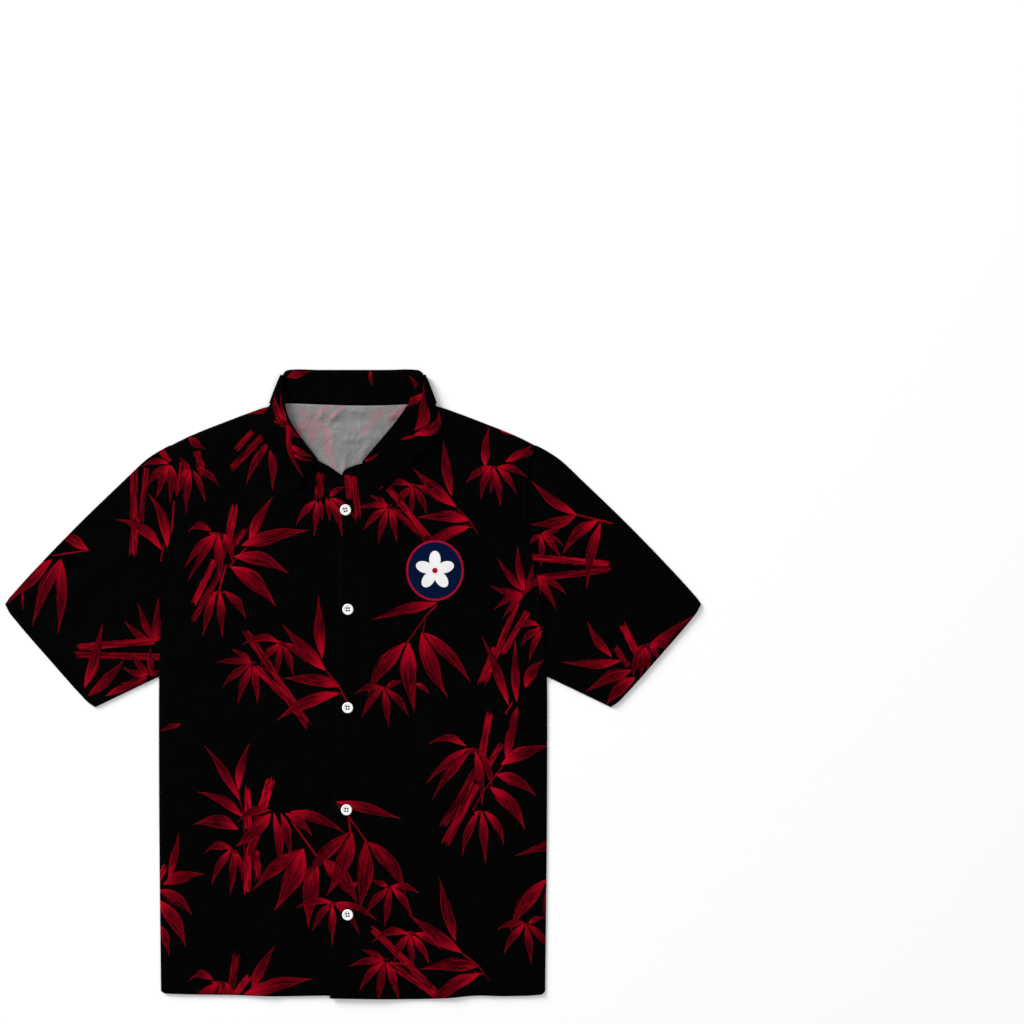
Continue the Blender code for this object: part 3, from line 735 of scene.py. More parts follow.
def creases(x, y, quiet, fine_quiet):
    """All the creases of the fronts and sleeves at a point, each sort less by its own share."""
    broad = limited(crease_height(BROAD_CREASES, x, y), *BROAD_LIMITS)
    fine = limited(crease_height(FINE_CREASES, x, y), *FINE_LIMITS)
    ripple = sum(h * noise.noise((x / across, y / up, seed)) for h, across, up, seed in RIPPLES)
    return broad * quiet + fine * fine_quiet + ripple * fine_quiet


def back_height(x, y):
    quiet = ease(body_seams.space(x, y) / CALM)
    raised = max(crease_height(BACK_CREASES, x, y), 0.0) * quiet
    return CLOTH / 2 + lift(x, y) + raised


def under_front_height(x, y):
    height = FRONT_MIDDLE + lift(x, y, LIFT_LEAD)
    height += creases(x, y, calm(x, y, CALM), calm(x, y, FINE_CALM))
    near_seam = 1.0 - min(pressed.space(x, y) / SEAM_ROUND, 1.0)
    near_armhole = ease(1.0 - armholes.space(x, y) / SEAM_ROUND)
    return height - SEAM_DROP * near_seam**2 * (1.0 - near_armhole) + ARMHOLE_RISE * near_armhole


def upper_front_height(x, y):
    lap = LAYER * (1.0 - ease((x - LAP_CLEAR) / LAP_SLOPE))
    return under_front_height(x, y) + lap


print("front at the chest:", round(under_front_height(120.0, 100.0), 2), "mm up")

# %% [markdown]
# ## The print's motifs
#
# The print is an ordinary bamboo-like one: leaves in twos and threes, fans of leaves that droop
# from one point, and broken canes. A leaf is a line from base to tip with a width and a bend, so
# its edge can be worked out by rule. A cane is a strip with splinters at its end, and a very
# narrow one serves as a twig. Such edges stay crisp at any distance, which a painted texture's
# would not.

# %% Outlines of a leaf and a cane
Leaf = namedtuple("Leaf", "x y to_x to_y width bend")
Cane = namedtuple("Cane", "x y to_x to_y width teeth")
Shape = namedtuple("Shape", "kind outline base tip width bend number")

EDGE_STEP = 5.0  # mm between the points of a motif's edge
FULLEST = 0.74  # the smaller, the nearer a leaf's fullest part is to its base
TAPER = 1.4  # the larger, the finer its two ends
SLIMNESS = 0.92  # of a leaf's stated width, for its drawn edge
WOBBLE = 0.09  # of a leaf's width, in its edges
CANE_JOINTS = 30.0  # mm between a cane's joints
CANE_WAIST = 0.9  # a cane's width between its joints, as a share
JOINT_SWELL = 0.16  # what a joint adds to it
SPLINTERS = (0.55, 0.25)  # how far they reach and how much that varies, in widths


def fullness(share):
    """A leaf's width along its length, from base to tip, as a share of its greatest."""
    return max(math.sin(math.pi * share**FULLEST), 0.0) ** TAPER


def leaf_outline(base, tip, width, bend, number):
    """Runs from base to tip along one side and back along the other."""
    along = tip - base
    across = Vector((-along.y, along.x)).normalized()
    count = max(round(along.length / EDGE_STEP), 6)
    outline = [base]
    for side in (-1.0, 1.0):
        steps = range(1, count) if side < 0 else range(count - 1, 0, -1)
        for step in steps:
            share = step / count
            middle = base.lerp(tip, share) + across * bend * 4.0 * share * (1.0 - share)
            wobble = 1.0 + WOBBLE * math.sin(share * 9.0 + number * 1.7 + side)
            outline.append(middle + across * side * SLIMNESS * width / 2 * fullness(share) * wobble)
        if side < 0:
            outline.append(tip)
    return outline


def cane_outline(base, tip, width, teeth, number):
    """A strip that swells at its joints and ends in splinters."""
    along = tip - base
    across = Vector((-along.y, along.x)).normalized()
    count = max(round(along.length / EDGE_STEP), 4)
    outline = []
    for side in (-1.0, 1.0):
        steps = range(count + 1) if side < 0 else range(count, -1, -1)
        for step in steps:
            share = step / count
            joint = math.cos(share * along.length / CANE_JOINTS * math.tau + number) ** 8
            half = width / 2 * (CANE_WAIST + JOINT_SWELL * joint)
            outline.append(base.lerp(tip, share) + across * side * half)
        if side < 0:
            for tooth in range(1, 2 * teeth):
                reach = width * (SPLINTERS[0] + SPLINTERS[1] * math.sin(number + tooth)) * (tooth % 2)
                place = (tooth / teeth - 1.0) * width / 2
                outline.append(tip + along.normalized() * reach + across * place)
    return outline


# %% [markdown]
# ## Sprays
#
# The printed cloth repeats a few sprays, turned and scaled here and there. Each is a short table
# of leaves and canes about its own origin, in whole millimetres with Y up. The ends and the width
# of each motif were read off the photograph, so the layout follows it closely. The edges, veins
# and shades are worked out by the rules above.

# %% The sprays' tables
SPRAYS = {
    "cane spray": [
        Cane(-4, 19, 4, 66, 11, 2), Cane(1, 16, 18, 39, 9, 2), Cane(-21, 0, -47, -54, 8, 3),
        Cane(-14, -16, -48, -76, 8, 4), Cane(-6, -6, -15, -40, 2, 1), Leaf(-28, 35, -5, 34, 7, -2),
        Leaf(-24, -42, -5, -40, 6, -2), Leaf(-8, 34, -9, 2, 10, 1), Leaf(-10, 33, 3, -6, 10, 3),
        Leaf(-25, 37, -56, 36, 12, -9), Leaf(-20, 34, -60, -10, 12, -4),
        Leaf(-18, 33, -56, -28, 10, -2), Leaf(-16, 34, -13, -31, 13, -1),
        Leaf(24, 22, 55, 83, 14, 3), Cane(-2, -8, 22, 18, 2, 1), Leaf(14, 19, 103, 39, 20, 3),
        Leaf(4, 5, 76, -18, 20, 7), Leaf(-1, -8, 59, -61, 23, 6), Leaf(-22, -44, -43, -66, 9, -2),
        Leaf(-20, -42, -36, -99, 12, -2), Leaf(-9, -40, 20, -77, 13, 4),
        Leaf(-14, -41, -11, -101, 11, 0),
    ],
    "crossed canes": [
        Cane(-14, -3, 20, -54, 8, 1), Cane(-13, -5, -47, 45, 9, 2), Cane(-36, 1, 15, -50, 9, 1),
        Cane(8, -41, 30, -71, 12, 4), Cane(-38, 2, -15, -4, 2, 1), Leaf(-48, 3, -34, 7, 7, 1),
        Leaf(-9, 32, 5, 31, 6, 1), Leaf(-42, 6, -66, 24, 10, -2), Leaf(-42, 6, -87, 7, 10, -3),
        Leaf(-42, 4, -79, -26, 11, -4), Leaf(-41, 3, -59, -47, 11, -2),
        Leaf(-39, 3, -33, -47, 11, 1), Leaf(-5, 33, -53, 30, 11, -8), Leaf(-3, 31, -8, -14, 9, -1),
        Leaf(-4, 31, -29, 2, 11, -4), Leaf(2, 32, 31, 5, 11, 4), Leaf(-1, 30, 13, -10, 11, 2),
        Leaf(51, 12, 46, 95, 15, 1), Leaf(56, -4, -1, 57, 18, 1), Leaf(74, -24, -1, -14, 18, -4),
        Leaf(74, -33, -9, -69, 18, -7), Cane(57, -5, 73, -24, 2, 1), Cane(72, -22, 83, -44, 2, 1),
        Cane(66, -30, 76, -35, 2, 1),
    ],
    "hanging branch": [
        Cane(9, -6, -5, -20, 2, 1), Cane(-5, -20, -31, -57, 2, 1), Cane(-6, -22, -9, -44, 2, 1),
        Leaf(-38, -58, -24, -57, 5, -1), Leaf(-65, -115, -52, -115, 6, -1),
        Leaf(10, -3, -76, -26, 15, -2), Leaf(-8, -42, 53, -107, 17, 4),
        Leaf(-11, -42, 24, -127, 22, -5), Leaf(-32, -55, -81, -124, 21, -6),
        Leaf(-28, -55, -20, -146, 23, -3), Leaf(-18, -108, -1, -121, 8, 1),
        Leaf(-57, -113, -36, -105, 9, 1), Leaf(-61, -113, -98, -122, 10, -4),
        Leaf(-62, -114, -89, -153, 11, -3), Leaf(-58, -115, -27, -152, 11, 3),
        Leaf(-60, -115, -53, -166, 11, 0),
    ],
    "star": [
        Cane(-6, -10, -33, -74, 8, 1), Cane(7, -22, -24, -74, 8, 1),
        Cane(-33, -70, -50, -110, 13, 4), Leaf(-4, 0, 9, 6, 7, -1), Leaf(21, 22, 33, 23, 6, -1),
        Leaf(18, -43, 29, -42, 6, -1), Leaf(2, 4, -32, 48, 10, 2), Leaf(3, 5, -6, 64, 11, 2),
        Leaf(5, 4, 14, 42, 9, -2), Leaf(0, 2, -42, 12, 10, 3), Leaf(0, 0, -37, -20, 10, -4),
        Leaf(2, -1, -25, -31, 8, -3), Leaf(26, 22, 9, 4, 9, -3), Leaf(28, 22, 31, -2, 9, 1),
        Leaf(26, 24, 24, 48, 9, 1), Leaf(22, -40, -6, -46, 10, -7), Leaf(24, -44, -2, -67, 10, -4),
        Leaf(26, -46, 9, -87, 10, -3), Leaf(4, -121, 28, -84, 17, 4),
        Leaf(-18, -144, -53, -54, 14, -3), Leaf(-7, -140, -9, -56, 12, 1),
        Cane(-22, -155, -13, -140, 2, 1), Leaf(-6, -146, -15, -190, 10, -2),
    ],
    "upright spray": [
        Cane(-7, 38, -2, 18, 2, 1), Cane(-2, 18, -1, -50, 2, 1), Cane(4, 2, 3, 52, 9, 2),
        Cane(22, 28, 32, 62, 12, 3), Cane(18, 18, 1, -56, 13, 4), Cane(4, -34, 2, -78, 9, 3),
        Cane(13, -27, 16, -62, 10, 3), Leaf(-7, 38, -54, 111, 13, -3), Leaf(-9, 51, 6, 114, 12, 4),
        Leaf(-3, 17, -63, 50, 14, -6), Leaf(-9, 1, -68, 7, 20, -8), Leaf(61, -29, 17, -68, 13, -3),
        Leaf(33, 26, -11, 9, 12, -7), Leaf(33, 22, -13, -22, 20, 2), Leaf(48, 13, 49, -27, 6, 0),
        Leaf(52, 22, 87, -8, 13, 4), Leaf(58, 24, 130, -4, 15, 5), Cane(60, 12, 92, -33, 2.4, 1),
        Leaf(76, -24, 8, -81, 18, -5), Leaf(76, -24, 37, -105, 27, 4),
        Leaf(100, -39, 146, -97, 25, 6), Leaf(92, -39, 82, -127, 24, -3),
        Leaf(37, 23, 46, -55, 12, 2), Leaf(46, 22, 58, -38, 12, 3), Leaf(-23, -25, -10, -27, 6, -1),
        Leaf(107, -95, 120, -94, 6, -1), Leaf(-17, -24, -54, -31, 13, -8),
        Leaf(-19, -25, -44, -71, 11, -3), Leaf(-15, -26, -20, -85, 11, 1),
        Leaf(-12, -28, -4, -66, 9, 2), Leaf(113, -94, 65, -102, 10, -6),
        Leaf(111, -95, 87, -132, 11, -3), Leaf(117, -94, 172, -118, 10, 5),
        Leaf(116, -95, 149, -136, 11, 4), Leaf(113, -96, 113, -150, 11, 0),
    ],
}
print("sprays:", {name: len(rows) for name, rows in SPRAYS.items()})

# %% From a spray to shapes
Place = namedtuple("Place", "spray x y turn scale mirror")


def placed(place):
    """The leaves and canes of one spray, put in its place."""
    turn = Matrix.Rotation(math.radians(place.turn), 2)
    flip = -1.0 if place.mirror else 1.0
    moved = []
    for row in SPRAYS[place.spray]:
        ends = []
        for x, y in ((row.x, row.y), (row.to_x, row.to_y)):
            ends += list(Vector((place.x, place.y)) + turn @ Vector((flip * x, y)) * place.scale)
        width = row.width * place.scale
        last = row.teeth if isinstance(row, Cane) else row.bend * place.scale * flip
        moved.append(type(row)(*ends, width, last))
    return moved


def shapes_of(rows):
    """Turns leaves and canes into outlines. A later one lies over an earlier one."""
    shapes = []
    for number, row in enumerate(rows):
        base, tip = Vector((row.x, row.y)), Vector((row.to_x, row.to_y))
        kind, outlined, bend = "leaf", leaf_outline, row[-1]
        if isinstance(row, Cane):
            kind, outlined, bend = "cane", cane_outline, 0.0
        outline = outlined(base, tip, row.width, row[-1], number)
        shapes.append(Shape(kind, outline, base, tip, row.width, bend, number))
    return shapes


# %% Where the sprays lie on the body
FRONT_SPRAYS = [
    Place("cane spray", -159, 161, 0, 1.0, False),
    Place("crossed canes", -91, 21, 0, 1.0, False),
    Place("hanging branch", 100, 109, 0, 1.0, False),
    Place("crossed canes", 83, 229, 5, 0.91, False),
    Place("star", 220, 116, 0, 1.0, False),
    Place("upright spray", -140, -190, 0, 1.0, False),
    Place("hanging branch", -12, -150, 0, 1.0, True),
    Place("hanging branch", 285, -198, 0, 1.0, False),
    Place("crossed canes", 84, -357, 11, 1.04, False),
    Place("cane spray", -156, -423, 0, 1.02, False),
]
FRONT_LEAVES = [  # by the right shoulder, the top button, the left armhole and the right side
    Cane(-131, 328, -151, 306, 8, 2), Cane(-110, 330, -156, 282, 9, 3),
    Leaf(-113, 311, -139, 259, 10, -3), Leaf(-110, 315, -126, 281, 9, -2),
    Leaf(-106, 313, -105, 251, 12, 1), Cane(-109, 330, -103, 317, 2.4, 1),
    Cane(-103, 317, -84, 290, 2.4, 1), Leaf(-103, 316, -87, 321, 8, 1),
    Leaf(-99, 360, -138, 350, 12, -2), Leaf(-214, 321, -192, 306, 12, -2),
    Cane(-203, 303, -196, 276, 10, 2), Leaf(-217, 282, -228, 257, 8, -2),
    Leaf(-213, 281, -230, 238, 10, -4), Leaf(-211, 280, -217, 220, 10, -2),
    Leaf(-208, 278, -192, 235, 9, 2), Leaf(-204, 281, -174, 257, 10, 3),
    Cane(-224, 289, -232, 209, 2.4, 1), Leaf(-212, 282, -225, 295, 9, 2),
    Cane(-41, 278, -45, 243, 11, 2), Leaf(-16, 270, -51, 290, 10, 2),
    Leaf(-48, 239, -74, 207, 10, -3), Leaf(-47, 238, -51, 192, 10, 1),
    Leaf(-43, 239, -40, 213, 6, 0), Leaf(-34, 242, -30, 211, 8, 0), Leaf(-31, 242, -14, 191, 10, 3),
    Leaf(-29, 242, 5, 211, 9, 4), Leaf(-31, 244, -10, 256, 9, 2), Cane(-8, 273, -5, 243, 8, 2),
    Cane(0, 270, 6, 221, 10, 2), Leaf(172, 282, 177, 334, 12, 2), Leaf(191, 330, 216, 321, 8, 1),
    Leaf(198, 289, 233, 311, 12, -2), Leaf(211, 295, 244, 302, 9, 1),
    Leaf(176, 282, 190, 282, 7, -1), Leaf(180, 283, 147, 261, 11, -4),
    Leaf(188, 283, 227, 268, 10, 4), Leaf(179, 282, 166, 239, 11, -3),
    Leaf(182, 282, 179, 246, 8, 0), Leaf(183, 281, 192, 230, 10, 1),
    Leaf(187, 282, 213, 246, 10, 3), Leaf(-224, -52, -252, -62, 8, -1),
    Cane(-256, -262, -246, -240, 8, 2), Leaf(-240, -252, -227, -193, 11, -2),
    Leaf(-247, -261, -192, -247, 17, 4), Leaf(-253, -268, -209, -301, 18, 5),
    Leaf(-255, -280, -217, -343, 20, 5), Leaf(-256, -310, -239, -354, 13, 3),
    Cane(167, -94, 177, -42, 10, 2), Cane(176, -106, 191, -81, 8, 2),
    Cane(160, -112, 119, -181, 10, 3), Cane(160, -130, 122, -204, 12, 4),
    Cane(196, -105, 171, -138, 2, 1), Cane(171, -138, 156, -164, 2, 1),
    Leaf(146, -84, 171, -87, 8, -2), Leaf(157, -167, 178, -165, 7, -2),
    Leaf(147, -81, 97, -79, 11, -10), Leaf(149, -84, 95, -130, 12, -4),
    Leaf(153, -87, 103, -151, 14, -5), Leaf(159, -87, 168, -159, 12, 2),
    Leaf(166, -88, 181, -137, 11, 2), Leaf(199, -99, 216, -36, 13, 2),
    Leaf(192, -105, 258, -80, 18, 4), Leaf(185, -118, 238, -146, 17, 6),
    Leaf(178, -134, 224, -190, 20, 6), Leaf(163, -166, 142, -225, 12, -4),
    Leaf(167, -166, 172, -235, 12, 1), Leaf(171, -166, 196, -209, 12, 5),
]
BACK_SPRAYS = [
    Place("upright spray", 130, 230, 0, 1.0, True),
    Place("crossed canes", -120, 210, 0, 1.0, False),
    Place("hanging branch", -30, 120, 0, 1.0, False),
    Place("cane spray", 120, 10, 0, 1.0, True),
    Place("star", -190, 60, 0, 1.0, False),
    Place("upright spray", -110, -130, 0, 1.0, False),
    Place("crossed canes", 90, -180, 0, 1.05, True),
    Place("cane spray", -150, -330, 0, 1.0, False),
    Place("hanging branch", 60, -290, 0, 1.0, True),
    Place("star", 200, -260, 0, 1.0, True),
]
BACK_LEAVES = [  # they show through inside the neck
    Leaf(-52, 345, -83, 336, 9, 3), Leaf(-52, 344, -76, 312, 14, -3),
    Leaf(-53, 346, -74, 361, 12, 2), Leaf(-51, 345, -27, 364, 9, 2),
    Leaf(-49, 343, -60, 306, 12, 2), Leaf(-48, 344, -34, 321, 10, 2),
    Leaf(-33, 338, -20, 274, 15, -5), Cane(-33, 343, -11, 364, 6, 2), Cane(34, 358, 12, 325, 6, 3),
    Cane(42, 360, 30, 341, 4, 2), Leaf(44, 338, 60, 360, 8, 1), Leaf(52, 345, 82, 368, 14, 2),
]

# %% Where the motifs lie on the sleeves
LEFT_SLEEVE_PRINT = [
    Cane(291, 220, 337, 209, 2.4, 1), Leaf(291, 220, 231, 265, 14, 4),
    Leaf(291, 220, 229, 208, 16, 5), Leaf(319, 213, 272, 167, 16, -7),
    Leaf(244, 194, 229, 181, 8, -2), Leaf(244, 194, 244, 153, 9, 1), Leaf(246, 194, 270, 164, 9, 2),
    Leaf(246, 194, 274, 179, 8, 3), Leaf(244, 195, 272, 205, 9, -2), Cane(228, 165, 330, 156, 9, 4),
    Cane(229, 136, 330, 149, 9, 4), Leaf(322, 210, 304, 122, 15, -4),
    Leaf(238, 140, 220, 109, 9, -2), Leaf(238, 140, 238, 92, 10, 1), Leaf(239, 140, 264, 96, 10, 2),
    Leaf(240, 140, 278, 116, 10, 3), Leaf(337, 35, 304, 82, 12, 3), Leaf(350, 31, 270, 29, 13, 4),
    Leaf(363, 18, 303, -10, 17, -4), Leaf(367, 9, 328, -29, 18, -4), Cane(370, 38, 352, 74, 10, 3),
    Cane(358, 23, 342, 46, 8, 2), Leaf(386, 52, 443, 90, 13, -3), Leaf(387, 52, 414, 57, 9, -1),
    Leaf(387, 51, 422, 45, 9, 2), Leaf(386, 50, 396, 32, 10, 2), Leaf(369, 45, 390, 54, 8, -1),
    Leaf(375, 47, 364, 8, 12, -2), Leaf(376, 47, 373, 5, 9, 1), Leaf(379, 48, 383, 17, 11, 2),
]
RIGHT_SLEEVE_PRINT = [
    Cane(-239, 289, -250, 304, 8, 2), Leaf(-240, 286, -275, 282, 9, -6),
    Leaf(-240, 285, -269, 257, 13, -2), Leaf(-239, 285, -256, 241, 11, -1),
    Leaf(-238, 285, -238, 235, 10, 1), Leaf(-237, 285, -229, 243, 9, 1),
    Cane(-285, 282, -285, 213, 10, 3), Cane(-269, 281, -276, 213, 8, 3),
    Cane(-282, 216, -286, 172, 11, 4), Cane(-233, 238, -236, 198, 2.4, 1),
    Cane(-236, 198, -248, 176, 2, 1), Cane(-247, 178, -250, 160, 2, 1),
    Leaf(-249, 174, -310, 214, 15, -10), Leaf(-242, 177, -268, 249, 14, -8),
    Leaf(-344, 174, -392, 200, 15, -2), Cane(-342, 174, -391, 167, 2, 1),
    Leaf(-391, 162, -449, 104, 19, -3), Leaf(-430, 118, -429, 96, 4, 0),
    Leaf(-381, 162, -417, 75, 17, -4), Leaf(-380, 163, -384, 64, 16, 3),
    Leaf(-259, 54, -280, 106, 10, 1), Leaf(-260, 53, -297, 82, 10, 3),
    Leaf(-259, 55, -253, 113, 11, -1), Leaf(-258, 55, -243, 77, 9, -1),
    Cane(-258, 56, -354, 48, 9, 4), Cane(-251, 35, -357, 38, 9, 4),
    Leaf(-349, -5, -326, 79, 16, -3), Leaf(-345, -16, -296, 34, 15, -3),
    Leaf(-267, 9, -303, 1, 8, 2), Leaf(-266, 12, -299, 22, 10, 3), Leaf(-265, 12, -287, 40, 10, 2),
    Leaf(-264, 13, -264, 48, 10, -1), Leaf(-264, 12, -252, 18, 9, -1),
    Leaf(-322, -16, -264, 3, 10, 3),
]


def all_placed(places):
    return [row for place in places for row in placed(place)]


front_shapes = shapes_of(all_placed(FRONT_SPRAYS) + FRONT_LEAVES)
back_shapes = shapes_of(all_placed(BACK_SPRAYS) + BACK_LEAVES)
left_sleeve_shapes = shapes_of(LEFT_SLEEVE_PRINT)
right_sleeve_shapes = shapes_of(RIGHT_SLEEVE_PRINT)
print("motifs on the fronts:", len(front_shapes))

# %% [markdown]
# ## A badge on the chest
#
# A round print about 75 mm across sits on the left of the chest. Its place holds a plain flower
# badge made for this lesson: a dark blue disc with a thin red rim and a white flower of five
# petals. It is part of the print, so it is cut into the cloth as the leaves are, on top of them.

# %% The badge's shapes
BADGE_CENTRE = Vector((106.5, 147.5))
BADGE_RADII = Vector((37.5, 39.5))
BADGE_RIM = 2.6
PETALS = 5
PETAL_LENGTH = 23.0
PETAL_WIDTH = 15.0
PETAL_PLACE = 0.62  # from the badge's middle to the petal's, in lengths of a petal
FLOWER_HEART = 3.6


def oval(centre, across, up, turn=0.0, count=64):
    spin = Matrix.Rotation(turn, 2)
    angles = [math.tau * i / count for i in range(count)]
    return [centre + spin @ Vector((across * math.cos(a), up * math.sin(a))) for a in angles]


def badge_shapes(number):
    rows = [
        ("badge_rim", oval(BADGE_CENTRE, *BADGE_RADII)),
        ("badge_field", oval(BADGE_CENTRE, *(BADGE_RADII - Vector((BADGE_RIM, BADGE_RIM))))),
    ]
    for petal in range(PETALS):
        turn = math.tau * petal / PETALS + math.pi / 2
        reach = Vector((math.cos(turn), math.sin(turn))) * PETAL_LENGTH * PETAL_PLACE
        outline = oval(BADGE_CENTRE + reach, PETAL_LENGTH / 2, PETAL_WIDTH / 2, turn, 24)
        rows.append(("badge_flower", outline))
    rows.append(("badge_rim", oval(BADGE_CENTRE, FLOWER_HEART, FLOWER_HEART, 0.0, 16)))
    tip = BADGE_CENTRE + Vector((1.0, 0.0))
    return [Shape(kind, points, BADGE_CENTRE, tip, 1.0, 0.0, number) for kind, points in rows]


front_shapes += badge_shapes(len(front_shapes))

# %% [markdown]
# ## Cutting cloth
#
# A piece of cloth is a flat outline filled with triangles, with the motifs' edges cut in so that
# each triangle is wholly of one dye. A constrained Delaunay triangulation does exactly that: it
# gets the outline and the motifs as faces, plus a lattice of points that gives the cloth enough
# triangles to bend. Then every point is put at its height, and Solidify gives the cloth its
# thickness and its wrong side.

# %% The cut
Cut = namedtuple("Cut", "points triangles owners")
INSIDE_ONLY = 1  # keeps the triangles inside the given faces
MERGE = 1e-4  # mm, points nearer than this become one
CLEARANCE = 1.7  # mm, how close a lattice point may come to a cut edge
ROW_CLEARANCE = 0.6  # the same for the points beside a stitched line
LATTICE_RISE = 0.87  # from one row of a lattice to the next, in steps


def lattice(border, step):
    """Points spread evenly over a border's box."""
    low_x, high_x = min(point.x for point in border), max(point.x for point in border)
    y, high_y = min(point.y for point in border), max(point.y for point in border)
    points = []
    row = 0
    while y < high_y:
        y += step * LATTICE_RISE
        row += 1
        for column in range(math.floor(low_x / step), math.ceil(high_x / step) + 1):
            points.append(Vector((step * (column + row % 2 / 2), y)))
    return points


def cut(border, shapes, loose, rows=()):
    """Fills a border with triangles, cut along the shapes. loose and rows are points for them to
    use. Those of rows may come closer to a cut edge than the loose ones."""
    low = Vector((min(point.x for point in border), min(point.y for point in border)))
    high = Vector((max(point.x for point in border), max(point.y for point in border)))

    def inside(point):
        return low.x < point.x < high.x and low.y < point.y < high.y

    near = [shape for shape in shapes if any(map(inside, shape.outline))]
    loops = [border] + [shape.outline for shape in near]
    edges = Line(*[[*run, run[0]] for run in loops])
    points, faces = [], []
    for run in loops:
        faces.append(list(range(len(points), len(points) + len(run))))
        points += run
    points += [point for point in rows if edges.space(*point) > ROW_CLEARANCE]
    points += [point for point in loose if edges.space(*point) > CLEARANCE]
    points = [point.to_2d() for point in points]
    made = delaunay_2d_cdt(points, [], faces, INSIDE_ONLY, MERGE, True)
    flat, triangles, sources = made[0], made[2], made[5]
    kept = [(face, max(owners)) for face, owners in zip(triangles, sources) if 0 in owners]
    owners = [near[owner - 1] if owner else None for face, owner in kept]
    return Cut(flat, [face for face, owner in kept], owners)


# %% From a cut to a piece of cloth
MOTIF_END = 0.04  # nearest to a leaf's ends that its width is read, so that it isn't nil
NUMBER_STEP = 0.173  # between the numbers of two motifs, for their streaks


def print_coordinates(shape, point):
    """A point's place along its motif, across it from -1 to 1, and the motif's number."""
    if shape is None:
        return (0.0, 0.0, 0.0)
    axis = shape.tip - shape.base
    away = point - shape.base
    along = away.dot(axis) / axis.length_squared
    across = (axis.x * away.y - axis.y * away.x) / axis.length
    across -= shape.bend * 4.0 * along * (1.0 - along)
    share = limited(along, MOTIF_END, 1.0 - MOTIF_END)
    half = shape.width / 2 * (fullness(share) if shape.kind == "leaf" else 1.0)
    return (along, limited(across / half, -1.0, 1.0), shape.number * NUMBER_STEP)


def cloth(name, piece, layers, wall=CLOTH, joined=None, backs=BACKS):
    """Makes a piece from its cut. Each layer is a rule that puts a plan point in space, and 1 or
    -1 for which way it faces. joined says which points a second layer shares with the first."""
    shape = bmesh.new()
    stored = shape.loops.layers.float_vector.new("print")
    used = sorted({i for face in piece.triangles for i in face})
    first = {}
    for place, way in layers:
        verts = {}
        for i in used:
            shared = i in first and joined and joined(piece.points[i])
            verts[i] = first[i] if shared else shape.verts.new(Vector(place(*piece.points[i])) * MM)
        first = first or verts
        for face, owner in zip(piece.triangles, piece.owners):
            corners = face[::way]
            if len({verts[i] for i in corners}) < 3:
                continue
            made = shape.faces.new([verts[i] for i in corners])
            made.material_index = KINDS.index(owner.kind) if owner else 0
            made.smooth = True
            for loop, i in zip(made.loops, corners):
                loop[stored] = print_coordinates(owner, piece.points[i])
    area = sum(face.calc_area() for face in shape.faces)
    made = add_object(name, mesh_from(name, shape, FACES + backs))
    solid = made.modifiers.new("thickness", "SOLIDIFY")
    solid.thickness = wall * MM
    solid.offset = 0.0
    solid.material_offset = len(FACES)
    made["cloth_area"] = area
    print(f"{name}: {len(made.data.polygons)} triangles a side, {area:.4f} square metres")
    return made

# %% [markdown]
# ## The collar's lines
#
# A shirt collar has two parts: a band sewn to the neck, and a fall that is turned down over it.
# Spread flat as here, the sides of the neck curl over, so the collar runs from the front layer
# down round each side to the back one. It is described by lines across it. Each line has a point
# on the roll, one on the band's seam and one on the fall's free edge, and a smooth curve through
# the lines gives as many more as the cloth needs.

# %% Lines across the collar
CollarRow = namedtuple("CollarRow", "place roll seam outer roll_height outer_height")
CollarLine = namedtuple("CollarLine", "place roll seam outer")
BandEnd = namedtuple("BandEnd", "place top seam height")
Station = namedtuple("Station", "roll seam outer normal")

COLLAR_OVER = [
    CollarRow("collar point", (13.0, 287.3), (11.0, 272.0), (43.0, 252.0), 4.9, 5.3),
    CollarRow("by the point", (26.0, 303.0), (40.0, 281.0), (62.0, 272.0), 5.2, 5.3),
    CollarRow("front", (50.7, 332.0), (72.0, 311.0), (93.0, 305.0), 5.8, 5.3),
    CollarRow("collar bone", (68.0, 355.0), (92.5, 336.0), (113.5, 330.0), 6.3, 5.2),
    CollarRow("near shoulder", (78.0, 373.0), (99.5, 351.5), (114.5, 349.0), 6.5, 5.2),
]
SIDE_OVER = CollarLine("left side", (93.2, 400.0), (103.6, 363.4), (108.6, 364.8))
COLLAR_BACK = [
    CollarLine("back left", (84.0, 406.4), (86.0, 364.2), (86.0, 361.6)),
    CollarLine("back mid left", (42.0, 406.5), (42.0, 362.4), (42.0, 360.4)),
    CollarLine("back middle", (0.0, 406.5), (0.0, 362.2), (0.0, 360.2)),
    CollarLine("back mid right", (-42.0, 406.5), (-43.0, 363.4), (-44.0, 360.8)),
    CollarLine("back right", (-84.0, 406.4), (-86.0, 364.8), (-87.0, 362.0)),
]
SIDE_UNDER = CollarLine("right side", (-93.2, 400.0), (-103.2, 363.6), (-108.6, 365.0))
COLLAR_UNDER = [
    CollarRow("near shoulder", (-91.0, 372.0), (-102.0, 350.0), (-116.0, 349.0), 6.5, 5.2),
    CollarRow("collar bone", (-85.5, 347.0), (-99.5, 331.0), (-121.5, 329.0), 6.0, 5.2),
    CollarRow("front", (-75.0, 328.0), (-91.0, 309.0), (-109.0, 306.0), 5.2, 4.9),
    CollarRow("by the point", (-61.0, 309.0), (-73.0, 288.5), (-92.0, 282.0), 4.2, 4.6),
    CollarRow("collar point", (-47.2, 291.2), (-48.6, 276.0), (-71.5, 252.0), 3.2, 4.2),
]
